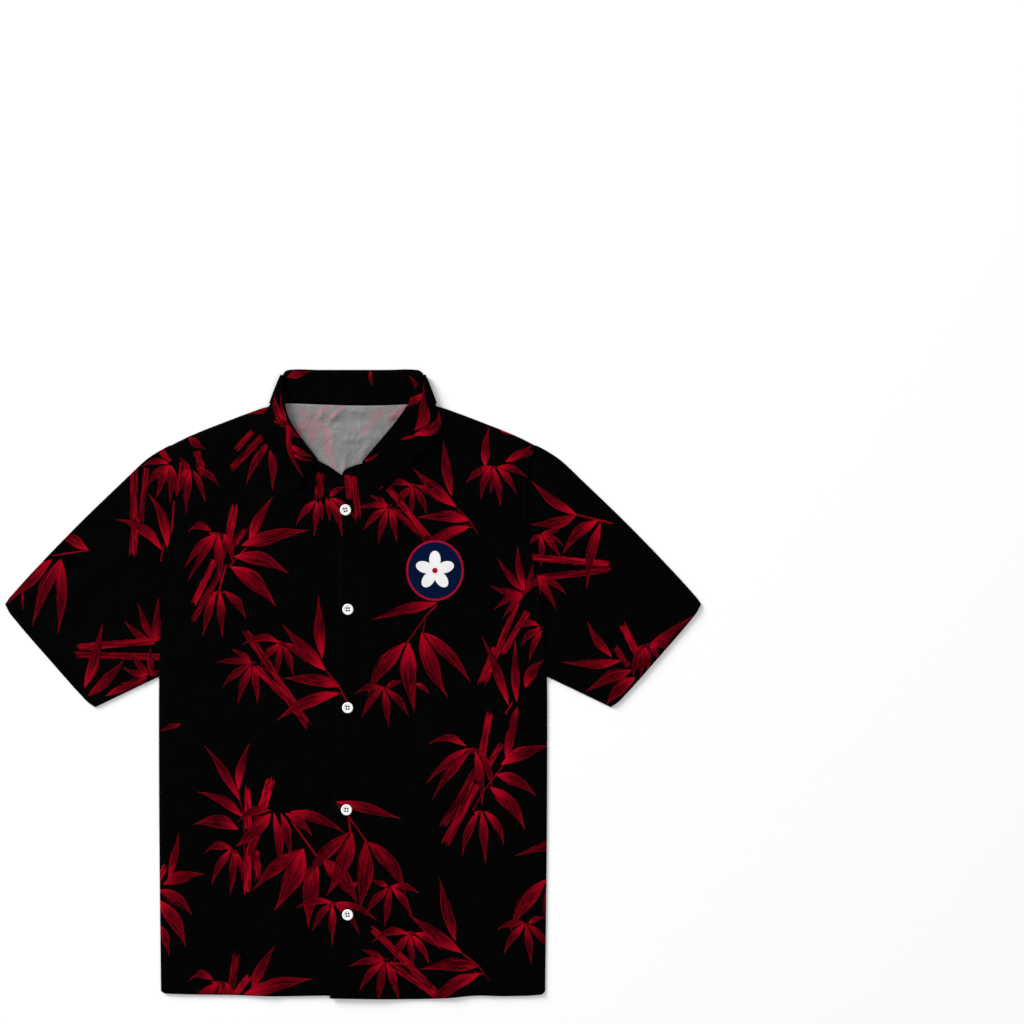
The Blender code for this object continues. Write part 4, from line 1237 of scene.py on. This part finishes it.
BAND_END_OVER = [
    BandEnd("tip", (-14.0, 273.0), (-14.2, 271.9), 3.6),
    BandEnd("round", (-12.6, 276.2), (-11.6, 271.9), 3.7),
    BandEnd("shoulder of the round", (-7.4, 280.6), (-6.4, 271.9), 3.9),
    BandEnd("top edge", (2.0, 284.3), (1.0, 271.9), 4.3),
]
BAND_END_UNDER = [
    BandEnd("top edge", (-31.2, 283.4), (-31.0, 271.0), 2.6),
    BandEnd("crossing", (-14.8, 271.6), (-16.0, 265.5), 2.1),
    BandEnd("round", (-5.0, 267.0), (-7.0, 262.8), 2.1),
    BandEnd("tip", (0.0, 263.4), (-1.0, 261.4), 2.1),
]

# %% From the lines to smooth runs
FALL_BACK_HEIGHT = 0.66
FALL_SIDE_HEIGHT = 5.2
STAND_BACK_HEIGHT = FALL_BACK_HEIGHT + LAYER
STAND_SIDE_HEIGHT = 6.5
SIDE_SEAM_HEIGHT = 3.6
SIDE_TURNS = 6
FRONT_STEPS = 44
SIDE_STEPS = 18
BACK_STEPS = 64
END_PARTS = 4  # steps between two lines of the band's ends


def flat_station(row, roll_height, outer_height, height, facing):
    """A line of the collar where it lies on a panel. facing is 1 on a front, -1 on the back."""
    seam = Vector((*row.seam, height(*row.seam)))
    roll, outer = Vector((*row.roll, roll_height)), Vector((*row.outer, outer_height))
    return Station(roll, seam, outer, Vector((0.0, 0.0, facing)))


def front_stations(rows, height):
    return [flat_station(row, row.roll_height, row.outer_height, height, 1.0) for row in rows]


def side_stations(row, side):
    """The lines round one side of the collar, from its front layer down to its back one."""
    along = (Vector(row.outer) - Vector(row.roll)).normalized()
    outward = Vector((-along.y * side, along.x * side, 0.0))
    up = Vector((0.0, 0.0, 1.0))
    heights = [
        (row.roll, STAND_SIDE_HEIGHT, STAND_BACK_HEIGHT),
        (row.seam, SIDE_SEAM_HEIGHT, STAND_BACK_HEIGHT),
        (row.outer, FALL_SIDE_HEIGHT, FALL_BACK_HEIGHT),
    ]
    stations = []
    for step in range(SIDE_TURNS + 1):
        turn = math.pi / 2 - math.pi * step / SIDE_TURNS
        points = []
        for point, upper, lower in heights:
            middle, radius = (upper + lower) / 2, (upper - lower) / 2
            place = Vector((*point, middle)) + outward * radius * (math.cos(turn) - 1.0)
            points.append(place + up * radius * math.sin(turn))
        stations.append(Station(*points, outward * math.cos(turn) + up * math.sin(turn)))
    return stations


def spread(stations, count):
    """Smooths a run of lines into count steps."""
    curve = Curve([[value for line in station for value in line] for station in stations])
    run = []
    for step in range(count + 1):
        numbers = curve(step / count)
        roll, seam, outer, normal = (Vector(numbers[i : i + 3]) for i in (0, 3, 6, 9))
        run.append(Station(roll, seam, outer, normal.normalized()))
    return run


over = front_stations(COLLAR_OVER, upper_front_height)
left = side_stations(SIDE_OVER, 1.0)
back_heights = (STAND_BACK_HEIGHT, FALL_BACK_HEIGHT, back_height, -1.0)
back = [flat_station(row, *back_heights) for row in COLLAR_BACK]
right = side_stations(SIDE_UNDER, -1.0)[::-1]
under = front_stations(COLLAR_UNDER, under_front_height)
over_run = spread(over + left[:1], FRONT_STEPS)
left_run = spread(left, SIDE_STEPS)
back_run = spread(left[-1:] + back + right[:1], BACK_STEPS)
right_run = spread(right, SIDE_STEPS)
under_run = spread(right[-1:] + under, FRONT_STEPS)
fall_run = over_run[:-1] + left_run + back_run[1:-1] + right_run + under_run[1:]


def band_end(rows, height):
    """The lines across an end of the band, past the collar point."""
    lines = [((*row.top, row.height), (*row.seam, height(*row.seam))) for row in rows]
    return [(Vector(top), Vector(seam)) for top, seam in lines]


def band_lines(run):
    return [(station.roll, station.seam) for station in run]


def finer(lines, parts):
    """The same lines with parts times as many between them."""
    made = []
    for (top, seam), (next_top, next_seam) in zip(lines, lines[1:]):
        for part in range(parts):
            share = part / parts
            made.append((top.lerp(next_top, share), seam.lerp(next_seam, share)))
    return made + lines[-1:]


over_lines, under_lines, back_lines = (band_lines(run) for run in (over_run, under_run, back_run))
over_end = finer(band_end(BAND_END_OVER, upper_front_height) + over_lines[:1], END_PARTS)
under_end = finer(under_lines[-1:] + band_end(BAND_END_UNDER, under_front_height), END_PARTS)
over_lines = over_end[:-1] + over_lines
under_lines = under_lines + under_end[1:]
print("lines across the fall:", len(fall_run))

# %% [markdown]
# ## The body's panels
#
# A shirt's body is a back and two fronts, joined at the shoulders and sides. Each is cut from its
# own outline. At the neck a panel runs a millimetre into the band, as the real seam allowance
# does, which leaves a closed seam and no slit. The right front passes below the left one, and
# both carry one print, so that the motifs run on across the lap. The back is printed on its
# underside, and its pale wrong side shows inside the neck.

# %% Stitched lines and their grooves
TUCK_IN = 1.0  # how far a panel runs into the band

HemLine = namedtuple("HemLine", "width low high")  # of the hem, and the x of its line's two ends
LEFT_HEM = HemLine(20.0, -28.0, 247.0)
RIGHT_HEM = HemLine(18.0, -247.0, -34.0)
BACK_HEM = HemLine(17.0, -246.0, 246.0)
ARMHOLE_STITCH = 6.0
PLACKET_WIDTH = 32.0
GROOVE_DEPTH = 0.28
GROOVE_WIDTH = 1.3
GROOVE_ROWS = (-2.6, -1.2, 0.0, 1.2, 2.6)  # from a stitched line to the rows of points about it


def below_band(lines):
    """A panel's neck line: the band's sewn edge, moved a little into the band."""
    edge = [seam.xy for top, seam in lines]
    points = []
    for (top, seam), along in zip(lines, directions(edge)):
        inward = Vector((along.y, -along.x))
        inward *= math.copysign(TUCK_IN, inward.dot((top - seam).xy))
        points.append(seam.xy + inward)
    return points


def groove(lines):
    """A rule for how far stitched lines draw the cloth down."""
    stitched = Line(*lines)

    def dip(x, y):
        return GROOVE_DEPTH * math.exp(-((stitched.space(x, y) / GROOVE_WIDTH) ** 2))

    return dip


def grooved(height, lines):
    """A rule for a point's place, from one for its height and the lines stitched through it."""
    dip = groove(lines)

    def place(x, y):
        return x, y, height(x, y) - dip(x, y)

    return place


def rows_along(lines):
    """Points that let a groove show: on each line and to both sides of it."""
    points = []
    for line in lines:
        for distance in GROOVE_ROWS:
            points += beside(line, distance)[1:-1]
    return points


def within(line, low, high):
    return [point for point in line if low < point.x < high]


def hem_line(hem, row):
    """The stitched line over a hem."""
    return within([point + Vector((0.0, row.width)) for point in hem], row.low, row.high)


# %% The left front
LATTICE = 5.5
hem = traced(marks(HEM_OF_UPPER_FRONT))
edge = traced(marks(UPPER_EDGE))
neck = below_band(over_lines)[::-1]
left_side = side_seam[:-1] + armhole[:-1] + shoulder[::-1]
left_border = hem[:-1] + left_side + neck + edge[:0:-1]
left_stitches = {
    "hem": hem_line(hem, LEFT_HEM),
    "armhole": beside(armhole, ARMHOLE_STITCH)[3:-3],
    "placket": beside(edge, -PLACKET_WIDTH)[7:-4],
}
lines = list(left_stitches.values())
left_cut = cut(left_border, front_shapes, lattice(left_border, LATTICE), rows_along(lines))
left_place = grooved(upper_front_height, lines)
front_left = cloth("front_left_cloth", left_cut, [(left_place, 1)])

# %% The right front
hem = traced(marks(HEM_OF_UNDER_FRONT))
edge = traced(marks(UNDER_EDGE))
neck = below_band(under_lines)[::-1]
right_side = mirrored(left_side)[:0:-1]
right_border = hem[:-1] + edge + neck + right_side
right_stitches = {
    "hem": hem_line(hem, RIGHT_HEM),
    "armhole": mirrored(left_stitches["armhole"]),
}
lines = list(right_stitches.values())
right_cut = cut(right_border, front_shapes, lattice(right_border, LATTICE), rows_along(lines))
right_place = grooved(under_front_height, lines)
front_right = cloth("front_right_cloth", right_cut, [(right_place, 1)])

# %% The back
BACK_LATTICE = 8.0
NECK_LATTICE = 2.6
NECK_BOTTOM = 250.0  # the finer lattice starts at this y
NECK_SIDE = 115.0  # and goes out this far from the middle


def in_neck(point):
    return point.y >= NECK_BOTTOM and abs(point.x) <= NECK_SIDE


def back_place(x, y):
    return x, y, back_height(x, y)


hem = traced(marks(HEM_OF_BACK))
back_border = hem[:-1] + left_side + below_band(back_lines) + right_side
loose = [point for point in lattice(back_border, BACK_LATTICE) if not in_neck(point)]
loose += [point for point in lattice(back_border, NECK_LATTICE) if in_neck(point)]
back_cut = cut(back_border, back_shapes, loose, rows_along([hem_line(hem, BACK_HEM)]))
back_piece = cloth("back_cloth", back_cut, [(back_place, -1)])

# %% [markdown]
# ## The sleeves
#
# A short sleeve is a tube that ends in a wide hem. Pressed flat it has a fold along the top and
# its seam underneath, and two layers between them. Both layers are cut from one outline, share
# their points along the fold and the underarm, and part in a half round just inside, so the
# pressed edge is soft. At the armhole they are tucked between the front and the back.

# %% Sleeve heights
SLEEVE_HALF = 0.95  # half the way from the lower layer to the upper one
FOLD_ROUND = 1.5
SLEEVE_TUCK = 2.0
TUCK_HEIGHT = 1.45
TUCK_HALF = 0.36
TUCK_EASE = 16.0
FOLD_CALM = (22.0, 8.0)  # width of the border over which broad and fine creases die out
CAP_CALM = (18.0, 12.0)
SLEEVE_SINK = -0.5  # the deepest that a crease goes in the upper layer
SLEEVE_HEM_WIDTH = 24.0
SLEEVE_HEM_ENDS = (300.0, 440.0)  # x of the ends of its stitched line
FOLD_ROWS = (0.35, 0.9, 1.6, 3.0)  # from a fold to the rows of points that round it
ON_FOLD = 0.05  # a point this near a fold belongs to both layers


def sleeve_rules(fold, underarm, stitched):
    """The rules for a sleeve's two layers, upper first."""
    folds = Line(fold, underarm)
    dip = groove(stitched)

    def parts(x, y):
        space = min(folds.space(x, y) / FOLD_ROUND, 1.0)
        tucked = 1.0 - ease(armholes.space(x, y) / TUCK_EASE)
        level = CLOTH / 2 + SLEEVE_HALF
        middle = level + (TUCK_HEIGHT - level) * tucked
        half = SLEEVE_HALF + (TUCK_HALF - SLEEVE_HALF) * tucked
        return middle, half * math.sqrt(1.0 - (1.0 - space) ** 2)

    def upper(x, y):
        middle, half = parts(x, y)
        from_fold, from_cap = folds.space(x, y), armholes.space(x, y)
        shares = [ease(from_fold / a) * ease(from_cap / b) for a, b in zip(FOLD_CALM, CAP_CALM)]
        return x, y, middle + half + max(creases(x, y, *shares), SLEEVE_SINK) - dip(x, y)

    def lower(x, y):
        middle, half = parts(x, y)
        return x, y, middle - half

    return upper, lower, folds


def make_sleeve(name, side, shapes):
    """Makes the sleeve of one side, 1 for the left one and -1 for its mirror image."""
    lines = (SLEEVE_FOLD, SLEEVE_HEM, SLEEVE_UNDERARM)
    fold, hem, underarm = (traced(marks(rows)) for rows in lines)
    tucked = beside(armhole, SLEEVE_TUCK)
    border = underarm[1:-1] + hem[:-1] + fold[:0:-1] + tucked[::-1]
    stitch_line = within(beside(hem, SLEEVE_HEM_WIDTH), *SLEEVE_HEM_ENDS)[1:-1]
    if side < 0:
        runs = (border[::-1], fold, underarm, stitch_line)
        border, fold, underarm, stitch_line = (mirrored(run) for run in runs)
    upper, lower, folds = sleeve_rules(fold, underarm, [stitch_line])
    inner = []
    for distance in FOLD_ROWS:
        inner += beside(fold, -distance * side)[2:-1] + beside(underarm, distance * side)[2:-1]
    rows = rows_along([stitch_line]) + inner
    made = cut(border, shapes, lattice(border, LATTICE), rows)

    def joined(point):
        return folds.space(*point) < ON_FOLD

    return cloth(name, made, [(upper, 1), (lower, -1)], joined=joined), upper, stitch_line


# %% Both sleeves
left_sleeve = make_sleeve("sleeve_left_cloth", 1, left_sleeve_shapes)
right_sleeve = make_sleeve("sleeve_right_cloth", -1, right_sleeve_shapes)
sleeve_left, left_sleeve_place, left_sleeve_line = left_sleeve
sleeve_right, right_sleeve_place, right_sleeve_line = right_sleeve

# %% [markdown]
# ## The collar's cloth
#
# The band and the fall are double cloth, printed on both sides. They curl too far to be laid on a
# plan, so they are cut in their own flat pattern, which is measured along the collar and across
# it, and the pattern's points are then put on the lines. Their motifs are drawn in the pattern
# too, as a printer's are.

# %% The fall's and the band's patterns
COLLAR_WALL = 1.0
ROLL_RADIUS = LAYER / 2
ROLL_SPACE = 0.65
ROLL_LENGTH = math.pi * ROLL_RADIUS
FALL_LENGTH = 46.0
BAND_HEIGHT = 38.0
FALL_PUFF = 0.5
ROLL_STEPS = 6
FALL_STEPS = 14
BAND_STEPS = 10


def measured(points):
    """How far along the run each point is."""
    total, marks_along = 0.0, [0.0]
    for a, b in zip(points, points[1:]):
        total += (b - a).length
        marks_along.append(total)
    return marks_along


def between(stops, value):
    """The stop before a value, and the share of the way to the next."""
    i = next((k for k in range(len(stops) - 2) if stops[k + 1] >= value), len(stops) - 2)
    return i, (value - stops[i]) / (stops[i + 1] - stops[i])


fall_marks = measured([station.roll.lerp(station.outer, 0.5) for station in fall_run])
upward = []
for station, along in zip(fall_run, directions([station.roll for station in fall_run])):
    across = station.normal.cross(along).normalized()
    upward.append(across * math.copysign(1.0, across.dot(station.roll - station.seam)))


def fall_point(i, v):
    station, up = fall_run[i], upward[i]
    start = station.roll + up * ROLL_SPACE
    if v < ROLL_LENGTH:
        turn = v / ROLL_RADIUS
        lift_off = station.normal * ROLL_RADIUS * (1.0 - math.cos(turn))
        return start + lift_off + up * ROLL_RADIUS * math.sin(turn)
    share = (v - ROLL_LENGTH) / (FALL_LENGTH - ROLL_LENGTH)
    top = start + station.normal * LAYER
    return top.lerp(station.outer, share) + station.normal * FALL_PUFF * math.sin(math.pi * share)


def fall_place(u, v):
    i, share = between(fall_marks, u)
    return fall_point(i, v).lerp(fall_point(i + 1, v), share)


round_the_neck = left_run[1:] + back_run[1:-1] + right_run
band_runs = over_lines + band_lines(round_the_neck) + under_lines[1:]
band_marks = measured([top.lerp(seam, 0.5) for top, seam in band_runs])


def band_place(u, v):
    i, share = between(band_marks, u)
    (top, seam), (next_top, next_seam) = band_runs[i], band_runs[i + 1]
    height = v / BAND_HEIGHT
    return seam.lerp(top, height).lerp(next_seam.lerp(next_top, height), share)


# %% Motifs on the collar
FALL_PRINT = [  # in the fall's pattern: along the collar, and away from the roll
    Cane(80, 32, 62, 20, 3, 1), Leaf(125, 14, 98, -4, 10, -1), Leaf(79, 24, 136, 9, 15, 6),
    Leaf(74, 26, 121, 43, 13, 5), Leaf(4, 3, 27, 10, 5, 1), Leaf(398, 9, 350, 30, 11, 0),
    Leaf(398, 6, 364, 7, 7, -1), Cane(388, 20, 400, 10, 9, 2), Leaf(402, 8, 428, 3, 9, 1),
    Leaf(404, 10, 424, 11, 8, 0), Leaf(428, 19, 462, 5, 9, 1), Leaf(440, 24, 466, 9, 6, 0),
    Leaf(408, 8, 470, 30, 8, 6),
]
BAND_PRINT = [  # in the band's pattern: along the collar, and up from its seam
    Leaf(177, 14, 192, 33, 7, 0), Leaf(243, 39, 241, 22, 6, 0), Leaf(352, 32, 318, 39, 11, 0),
]

# %% Cut and make the collar
def even(low, high, count):
    """The values of count even steps, with both ends."""
    return [low + (high - low) * step / count for step in range(count + 1)]


def collar_part(name, stops, heights, shapes, place):
    """Cuts a part of the collar from its pattern and puts it on its lines."""
    inner = heights[1:-1]
    border = [Vector((u, heights[0])) for u in stops] + [Vector((stops[-1], v)) for v in inner]
    border += [Vector((u, heights[-1])) for u in stops[::-1]]
    border += [Vector((stops[0], v)) for v in inner[::-1]]
    grid = [Vector((u, v)) for u in stops[1:-1] for v in inner]
    return cloth(name, cut(border, shapes, [], grid), [(place, 1)], COLLAR_WALL, backs=FACES)


fall_heights = even(0.0, ROLL_LENGTH, ROLL_STEPS)[:-1] + even(ROLL_LENGTH, FALL_LENGTH, FALL_STEPS)
band_heights = even(0.0, BAND_HEIGHT, BAND_STEPS)
fall_shapes, band_shapes = shapes_of(FALL_PRINT), shapes_of(BAND_PRINT)
collar_fall = collar_part("collar_fall_cloth", fall_marks, fall_heights, fall_shapes, fall_place)
collar_stand = collar_part("collar_stand_cloth", band_marks, band_heights, band_shapes, band_place)

# %% [markdown]
# ## Sewing
#
# Topstitching holds the hems of the fronts and the sleeves, the armholes and the placket. Each
# stitch is a small tapered grain of thread that sinks into the cloth at both ends. They are set
# along the same lines that the grooves follow, so the thread lies in its groove. Stitches, and
# later the buttons' thread, are rings of points with a skin over them.

# %% Stitches
STITCH_PITCH = 3.2
STITCH_LENGTH = 2.5
STITCH_WIDTH = 0.5
STITCH_SIDES = 6
STITCH_START = 0.4  # mm from the start of a line to its first stitch
STITCH_SEAT = 0.1  # mm from the cloth's face to a stitch's middle

StitchRing = namedtuple("StitchRing", "share thickness rise")
STITCH_RINGS = [
    StitchRing(0.0, 0.0, -0.25),
    StitchRing(0.12, 0.8, 0.0),
    StitchRing(0.5, 1.0, 0.12),
    StitchRing(0.88, 0.8, 0.0),
    StitchRing(1.0, 0.0, -0.25),
]


def thread_dye(start, place, slub):
    return start.mix(slub, (0.0012, 0.0010, 0.0012, 1.0), (0.0045, 0.004, 0.0045, 1.0))


black_thread = fabric("black thread", thread_dye, 0.7, 0.04)


def add_ring(shape, centre, along, radius, sides):
    """A ring of points square to a direction. One of no radius is a single point."""
    if radius == 0.0:
        return [shape.verts.new(centre * MM)]
    side = along.cross(Vector((0.0, 0.0, 1.0)))
    side = side.normalized() if side.length > 0.01 else Vector((0.0, 1.0, 0.0))
    up = side.cross(along)
    ring = []
    for k in range(sides):
        angle = math.tau * k / sides
        reach = side * math.cos(angle) + up * math.sin(angle)
        ring.append(shape.verts.new((centre + reach * radius) * MM))
    return ring


def add_skin(shape, rings, sides):
    """Faces from each ring to the next."""
    for a, b in zip(rings, rings[1:]):
        for k in range(sides):
            corners = [a[k % len(a)], a[(k + 1) % len(a)], b[(k + 1) % len(b)], b[k % len(b)]]
            shape.faces.new(list(dict.fromkeys(corners)))


def smooth_mesh(name, shape, surface):
    bmesh.ops.recalc_face_normals(shape, faces=shape.faces)
    mesh = mesh_from(name, shape, [surface])
    mesh.shade_smooth()
    return mesh


def add_stitch(shape, start, end):
    along = (end - start).normalized()
    up = along.cross(Vector((0.0, 0.0, 1.0))).normalized().cross(along)
    rings = []
    for row in STITCH_RINGS:
        centre = start.lerp(end, row.share) + up * (CLOTH / 2 + STITCH_SEAT + row.rise)
        rings.append(add_ring(shape, centre, along, row.thickness * STITCH_WIDTH / 2, STITCH_SIDES))
    add_skin(shape, rings, STITCH_SIDES)


def stitching(name, runs, place, parent):
    """Sets stitches along plan lines. place puts such a point in space."""
    shape = bmesh.new()
    for run in runs:
        curve = Curve(run)
        for i in range(int(curve.length / STITCH_PITCH)):
            first = (i * STITCH_PITCH + STITCH_START) / curve.length
            last = first + STITCH_LENGTH / curve.length
            ends = [Vector(place(*curve(min(share, 1.0)))) for share in (first, last)]
            add_stitch(shape, *ends)
    made = add_object(name, smooth_mesh(name, shape, black_thread))
    made.parent = parent
    print(f"{name}: {len(made.data.polygons)} faces")


stitching("front_left_stitching", left_stitches.values(), left_place, front_left)
stitching("front_right_stitching", right_stitches.values(), right_place, front_right)
stitching("sleeve_left_stitching", [left_sleeve_line], left_sleeve_place, sleeve_left)
stitching("sleeve_right_stitching", [right_sleeve_line], right_sleeve_place, sleeve_right)

# %% [markdown]
# ## Buttons and buttonholes
#
# Five white buttons, 14.2 mm across, close the front. A shirt button is turned: it has a flat
# back, a rounded edge, a raised rim and a shallow dish with four holes, so it is a profile swept
# round and drilled. The holes are joined in pairs by thread. Under each button is a corded
# buttonhole, a long narrow ring of close stitches.

# %% The button's shell
BUTTON_THICKNESS = 2.2
BUTTON_PROFILE = [  # from the middle of the dish out, over the rim and back under, in mm
    (0.0, 1.50), (2.2, 1.50), (3.7, 1.55), (4.3, 1.68), (4.9, 1.95), (5.4, 2.13), (5.8, 2.20),
    (6.3, 2.15), (6.7, 1.98), (6.98, 1.70), (7.1, 1.35), (7.06, 0.85), (6.85, 0.40), (6.5, 0.12),
    (6.0, 0.0), (0.0, 0.0),
]
BUTTON_SIDES = 56
HOLE_DIAMETER = 2.5
HOLE_SPACING = 3.3
HOLE_SIDES = 16
SMOOTH_BELOW = math.radians(38.0)

surface, shader, start = new_material("button shell")
place = start.node("ShaderNodeTexCoord", output="Object")
pearl = start.clouds(Vector=place, Scale=160.0, Detail=3.0, Distortion=1.2)
grain = start.clouds(Vector=place, Scale=1400.0)
tone = start.mix(pearl, (0.86, 0.86, 0.85, 1.0), (0.97, 0.97, 0.96, 1.0))
start.tree.links.new(tone.socket, shader.inputs["Base Color"])
start.tree.links.new((pearl * 0.16 + 0.2).socket, shader.inputs["Roughness"])
relief = start.node("ShaderNodeBump", None, {"Height": grain, "Strength": 0.1, "Distance": 0.00005})
start.tree.links.new(relief.socket, shader.inputs["Normal"])
shader.inputs["Coat Weight"].default_value = 0.25
shader.inputs["Coat Roughness"].default_value = 0.15
button_shell = surface


def turned_mesh(name, profile, sides):
    """Sweeps a profile of radius and height round the Z axis."""
    shape = bmesh.new()
    verts = [shape.verts.new(Vector((x, 0.0, z)) * MM) for x, z in profile]
    edges = [shape.edges.new(pair) for pair in zip(verts, verts[1:])]
    bmesh.ops.spin(
        shape,
        geom=verts + edges,
        axis=(0.0, 0.0, 1.0),
        cent=(0.0, 0.0, 0.0),
        steps=sides,
        angle=math.tau,
        use_merge=True,
    )
    bmesh.ops.remove_doubles(shape, verts=shape.verts, dist=0.001 * MM)
    bmesh.ops.recalc_face_normals(shape, faces=shape.faces)
    return mesh_from(name, shape)


def drill_mesh():
    shape = bmesh.new()
    for x in (-0.5, 0.5):
        for y in (-0.5, 0.5):
            made = bmesh.ops.create_cone(
                shape,
                cap_ends=True,
                segments=HOLE_SIDES,
                radius1=HOLE_DIAMETER / 2 * MM,
                radius2=HOLE_DIAMETER / 2 * MM,
                depth=3 * BUTTON_THICKNESS * MM,
            )
            centre = Vector((x, y, 0.0)) * HOLE_SPACING * MM
            bmesh.ops.translate(shape, verts=made["verts"], vec=centre)
    return mesh_from("button drill", shape)


def drilled_button():
    blank = add_object("button blank", turned_mesh("button blank", BUTTON_PROFILE, BUTTON_SIDES))
    drill = add_object("button drill", drill_mesh())
    holes = blank.modifiers.new("holes", "BOOLEAN")
    holes.operation = "DIFFERENCE"
    holes.object = drill
    bpy.context.view_layer.update()
    drilled = blank.evaluated_get(bpy.context.evaluated_depsgraph_get())
    mesh = bpy.data.meshes.new_from_object(drilled)
    for item in (blank, drill):
        bpy.data.objects.remove(item)
    mesh.shade_smooth()
    mesh.set_sharp_from_angle(angle=SMOOTH_BELOW)
    mesh.materials.clear()
    mesh.materials.append(button_shell)
    return mesh


button_mesh = drilled_button()
print("a button:", len(button_mesh.polygons), "faces")

# %% Thread through the holes
THREAD_RADIUS = 0.15
STRANDS = (-0.2, 0.2)  # places of the two strands of a pair of holes
SPAN = 1.6  # of the thread that shows between two holes
SPAN_STEPS = 8
THREAD_LEVEL = 1.62  # height of a strand over the button's back
THREAD_ARCH = 0.28  # how much its middle stands up
THREAD_DIP = 1.5  # how far its ends go down into the holes


def grey_dye(start, place, slub):
    return start.mix(slub, (0.30, 0.30, 0.30, 1.0), (0.52, 0.52, 0.52, 1.0))


grey_thread = fabric("grey thread", grey_dye, 0.6, 0.3)


def tube(shape, points, radius, sides=6):
    """Adds a closed-ended tube along points."""
    places = zip(points, directions(points))
    rings = [add_ring(shape, point, along, radius, sides) for point, along in places]
    add_skin(shape, rings, sides)
    shape.faces.new(rings[0])
    shape.faces.new(rings[-1][::-1])


shape = bmesh.new()
for row in (-0.5, 0.5):
    for strand in STRANDS:
        points = []
        for share in even(0.0, 1.0, SPAN_STEPS):
            y = row * HOLE_SPACING + strand * (1.0 + 0.2 * row)
            dip = THREAD_DIP * (2 * share - 1) ** 8
            rise = THREAD_LEVEL + THREAD_ARCH * math.sin(math.pi * share) - dip
            points.append(Vector(((share - 0.5) * SPAN, y, rise)))
        tube(shape, points, THREAD_RADIUS)
thread_mesh = smooth_mesh("button thread", shape, grey_thread)

# %% Buttonholes
HOLE_LENGTH = 17.0
HOLE_BAND = 1.5
HOLE_HALF = HOLE_BAND * 0.75  # from the slit to the middle of the stitches beside it
END_SQUARENESS = 3.0  # the larger, the squarer a buttonhole's ends
END_FAN = 0.35  # the larger, the more its end stitches fan out
BITES = 84  # stitches round a buttonhole
BITE_REACH = HOLE_BAND * 0.45  # half the length of one
BITE_RISE = 0.32
BITE_RADIUS = 0.26

shape = bmesh.new()
for bite in range(BITES):
    angle = math.tau * bite / BITES
    across = limited(math.cos(angle) * END_SQUARENESS, -1.0, 1.0)
    middle = Vector((HOLE_HALF * across, (HOLE_LENGTH / 2 - HOLE_BAND) * math.sin(angle), 0.0))
    outward = Vector((math.cos(angle), END_FAN * math.sin(angle), 0.0)).normalized()
    ends = [middle - outward * BITE_REACH, middle + outward * BITE_REACH]
    points = []
    for share in even(0.0, 1.0, 4):
        rise = Vector((0.0, 0.0, BITE_RISE * math.sin(math.pi * share)))
        points.append(ends[0].lerp(ends[1], share) + rise)
    tube(shape, points, BITE_RADIUS, 5)
hole_mesh = smooth_mesh("buttonhole", shape, black_thread)

# %% Five of each
Button = namedtuple("Button", "x y turn")
BUTTONS = [
    Button(-9.6, 226.3, 15.0),
    Button(-6.5, 97.1, 4.0),
    Button(-6.8, -30.7, 2.0),
    Button(-8.3, -163.4, -3.0),
    Button(-6.8, -299.8, 5.0),
]
BUTTON_LIFT = 0.25  # from the cloth to the button's back
HOLE_LIFT = 0.02
HOLE_DROP = 1.0  # a buttonhole's middle lies this much lower on the front than its button's

button_pieces = []
for number, row in enumerate(BUTTONS, start=1):
    top = left_place(row.x, row.y)[2] + CLOTH / 2
    button = add_object(f"button_{number}_shell", button_mesh)
    button.location = Vector((row.x, row.y, top + BUTTON_LIFT)) * MM
    button.rotation_euler.z = math.radians(row.turn)
    sewn = add_object(f"button_{number}_thread", thread_mesh)
    sewn.parent = button
    ring = add_object(f"buttonhole_{number}", hole_mesh)
    ring.location = Vector((row.x, row.y - HOLE_DROP, top + HOLE_LIFT)) * MM
    button_pieces.append(button)
    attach(ring, "root")
print("buttons:", len(button_pieces))

# %% [markdown]
# ## Putting the cloth in place of the solids
#
# Each piece of cloth rides on the model's one body, and the soft solid that it replaces is
# hidden behind the scenes. Each piece of cloth rides on the model's one body and stands for
# its soft solid, which stays behind the scenes for collisions. Every sheet states the size
# that was cut, so that its area can be checked.

# %% The pieces on the body, and their solids hidden
Sheet = namedtuple("Sheet", "piece node width length rests_on")
SHEETS = [
    Sheet(back_piece, "back", 0.505, 0.768, []),
    Sheet(front_left, "front_left", 0.283, 0.772, ["back_cloth"]),
    Sheet(front_right, "front_right", 0.269, 0.768, ["back_cloth"]),
    Sheet(sleeve_left, "sleeve_left", 0.52, 0.40, []),
    Sheet(sleeve_right, "sleeve_right", 0.52, 0.40, []),
    Sheet(collar_stand, "collar_stand", 0.50, 0.045, ["back_cloth"]),
    Sheet(collar_fall, "collar_fall", 0.53, 0.075, ["front_left_cloth"]),
]

for row in SHEETS:
    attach(row.piece, "root")
    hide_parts(row.node)
    area = min(row.piece["cloth_area"], row.width * row.length)
for number, button in enumerate(button_pieces, start=1):
    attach(button, "root")
    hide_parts(f"button_{number}")

# %% [markdown]
# ## The size, before and after
#
# The boxes of the solids and of the dressed shirt are both measured, and their sizes printed.
# The dressed shirt must be as large as its solids.

# %% Size
dressed_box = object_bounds()
sizes = {"cad": [list(corner) for corner in cad_box], "visual": [list(corner) for corner in dressed_box]}
for name, (low, high) in sizes.items():
    print(name, [round(b - a, 4) for a, b in zip(low, high)])
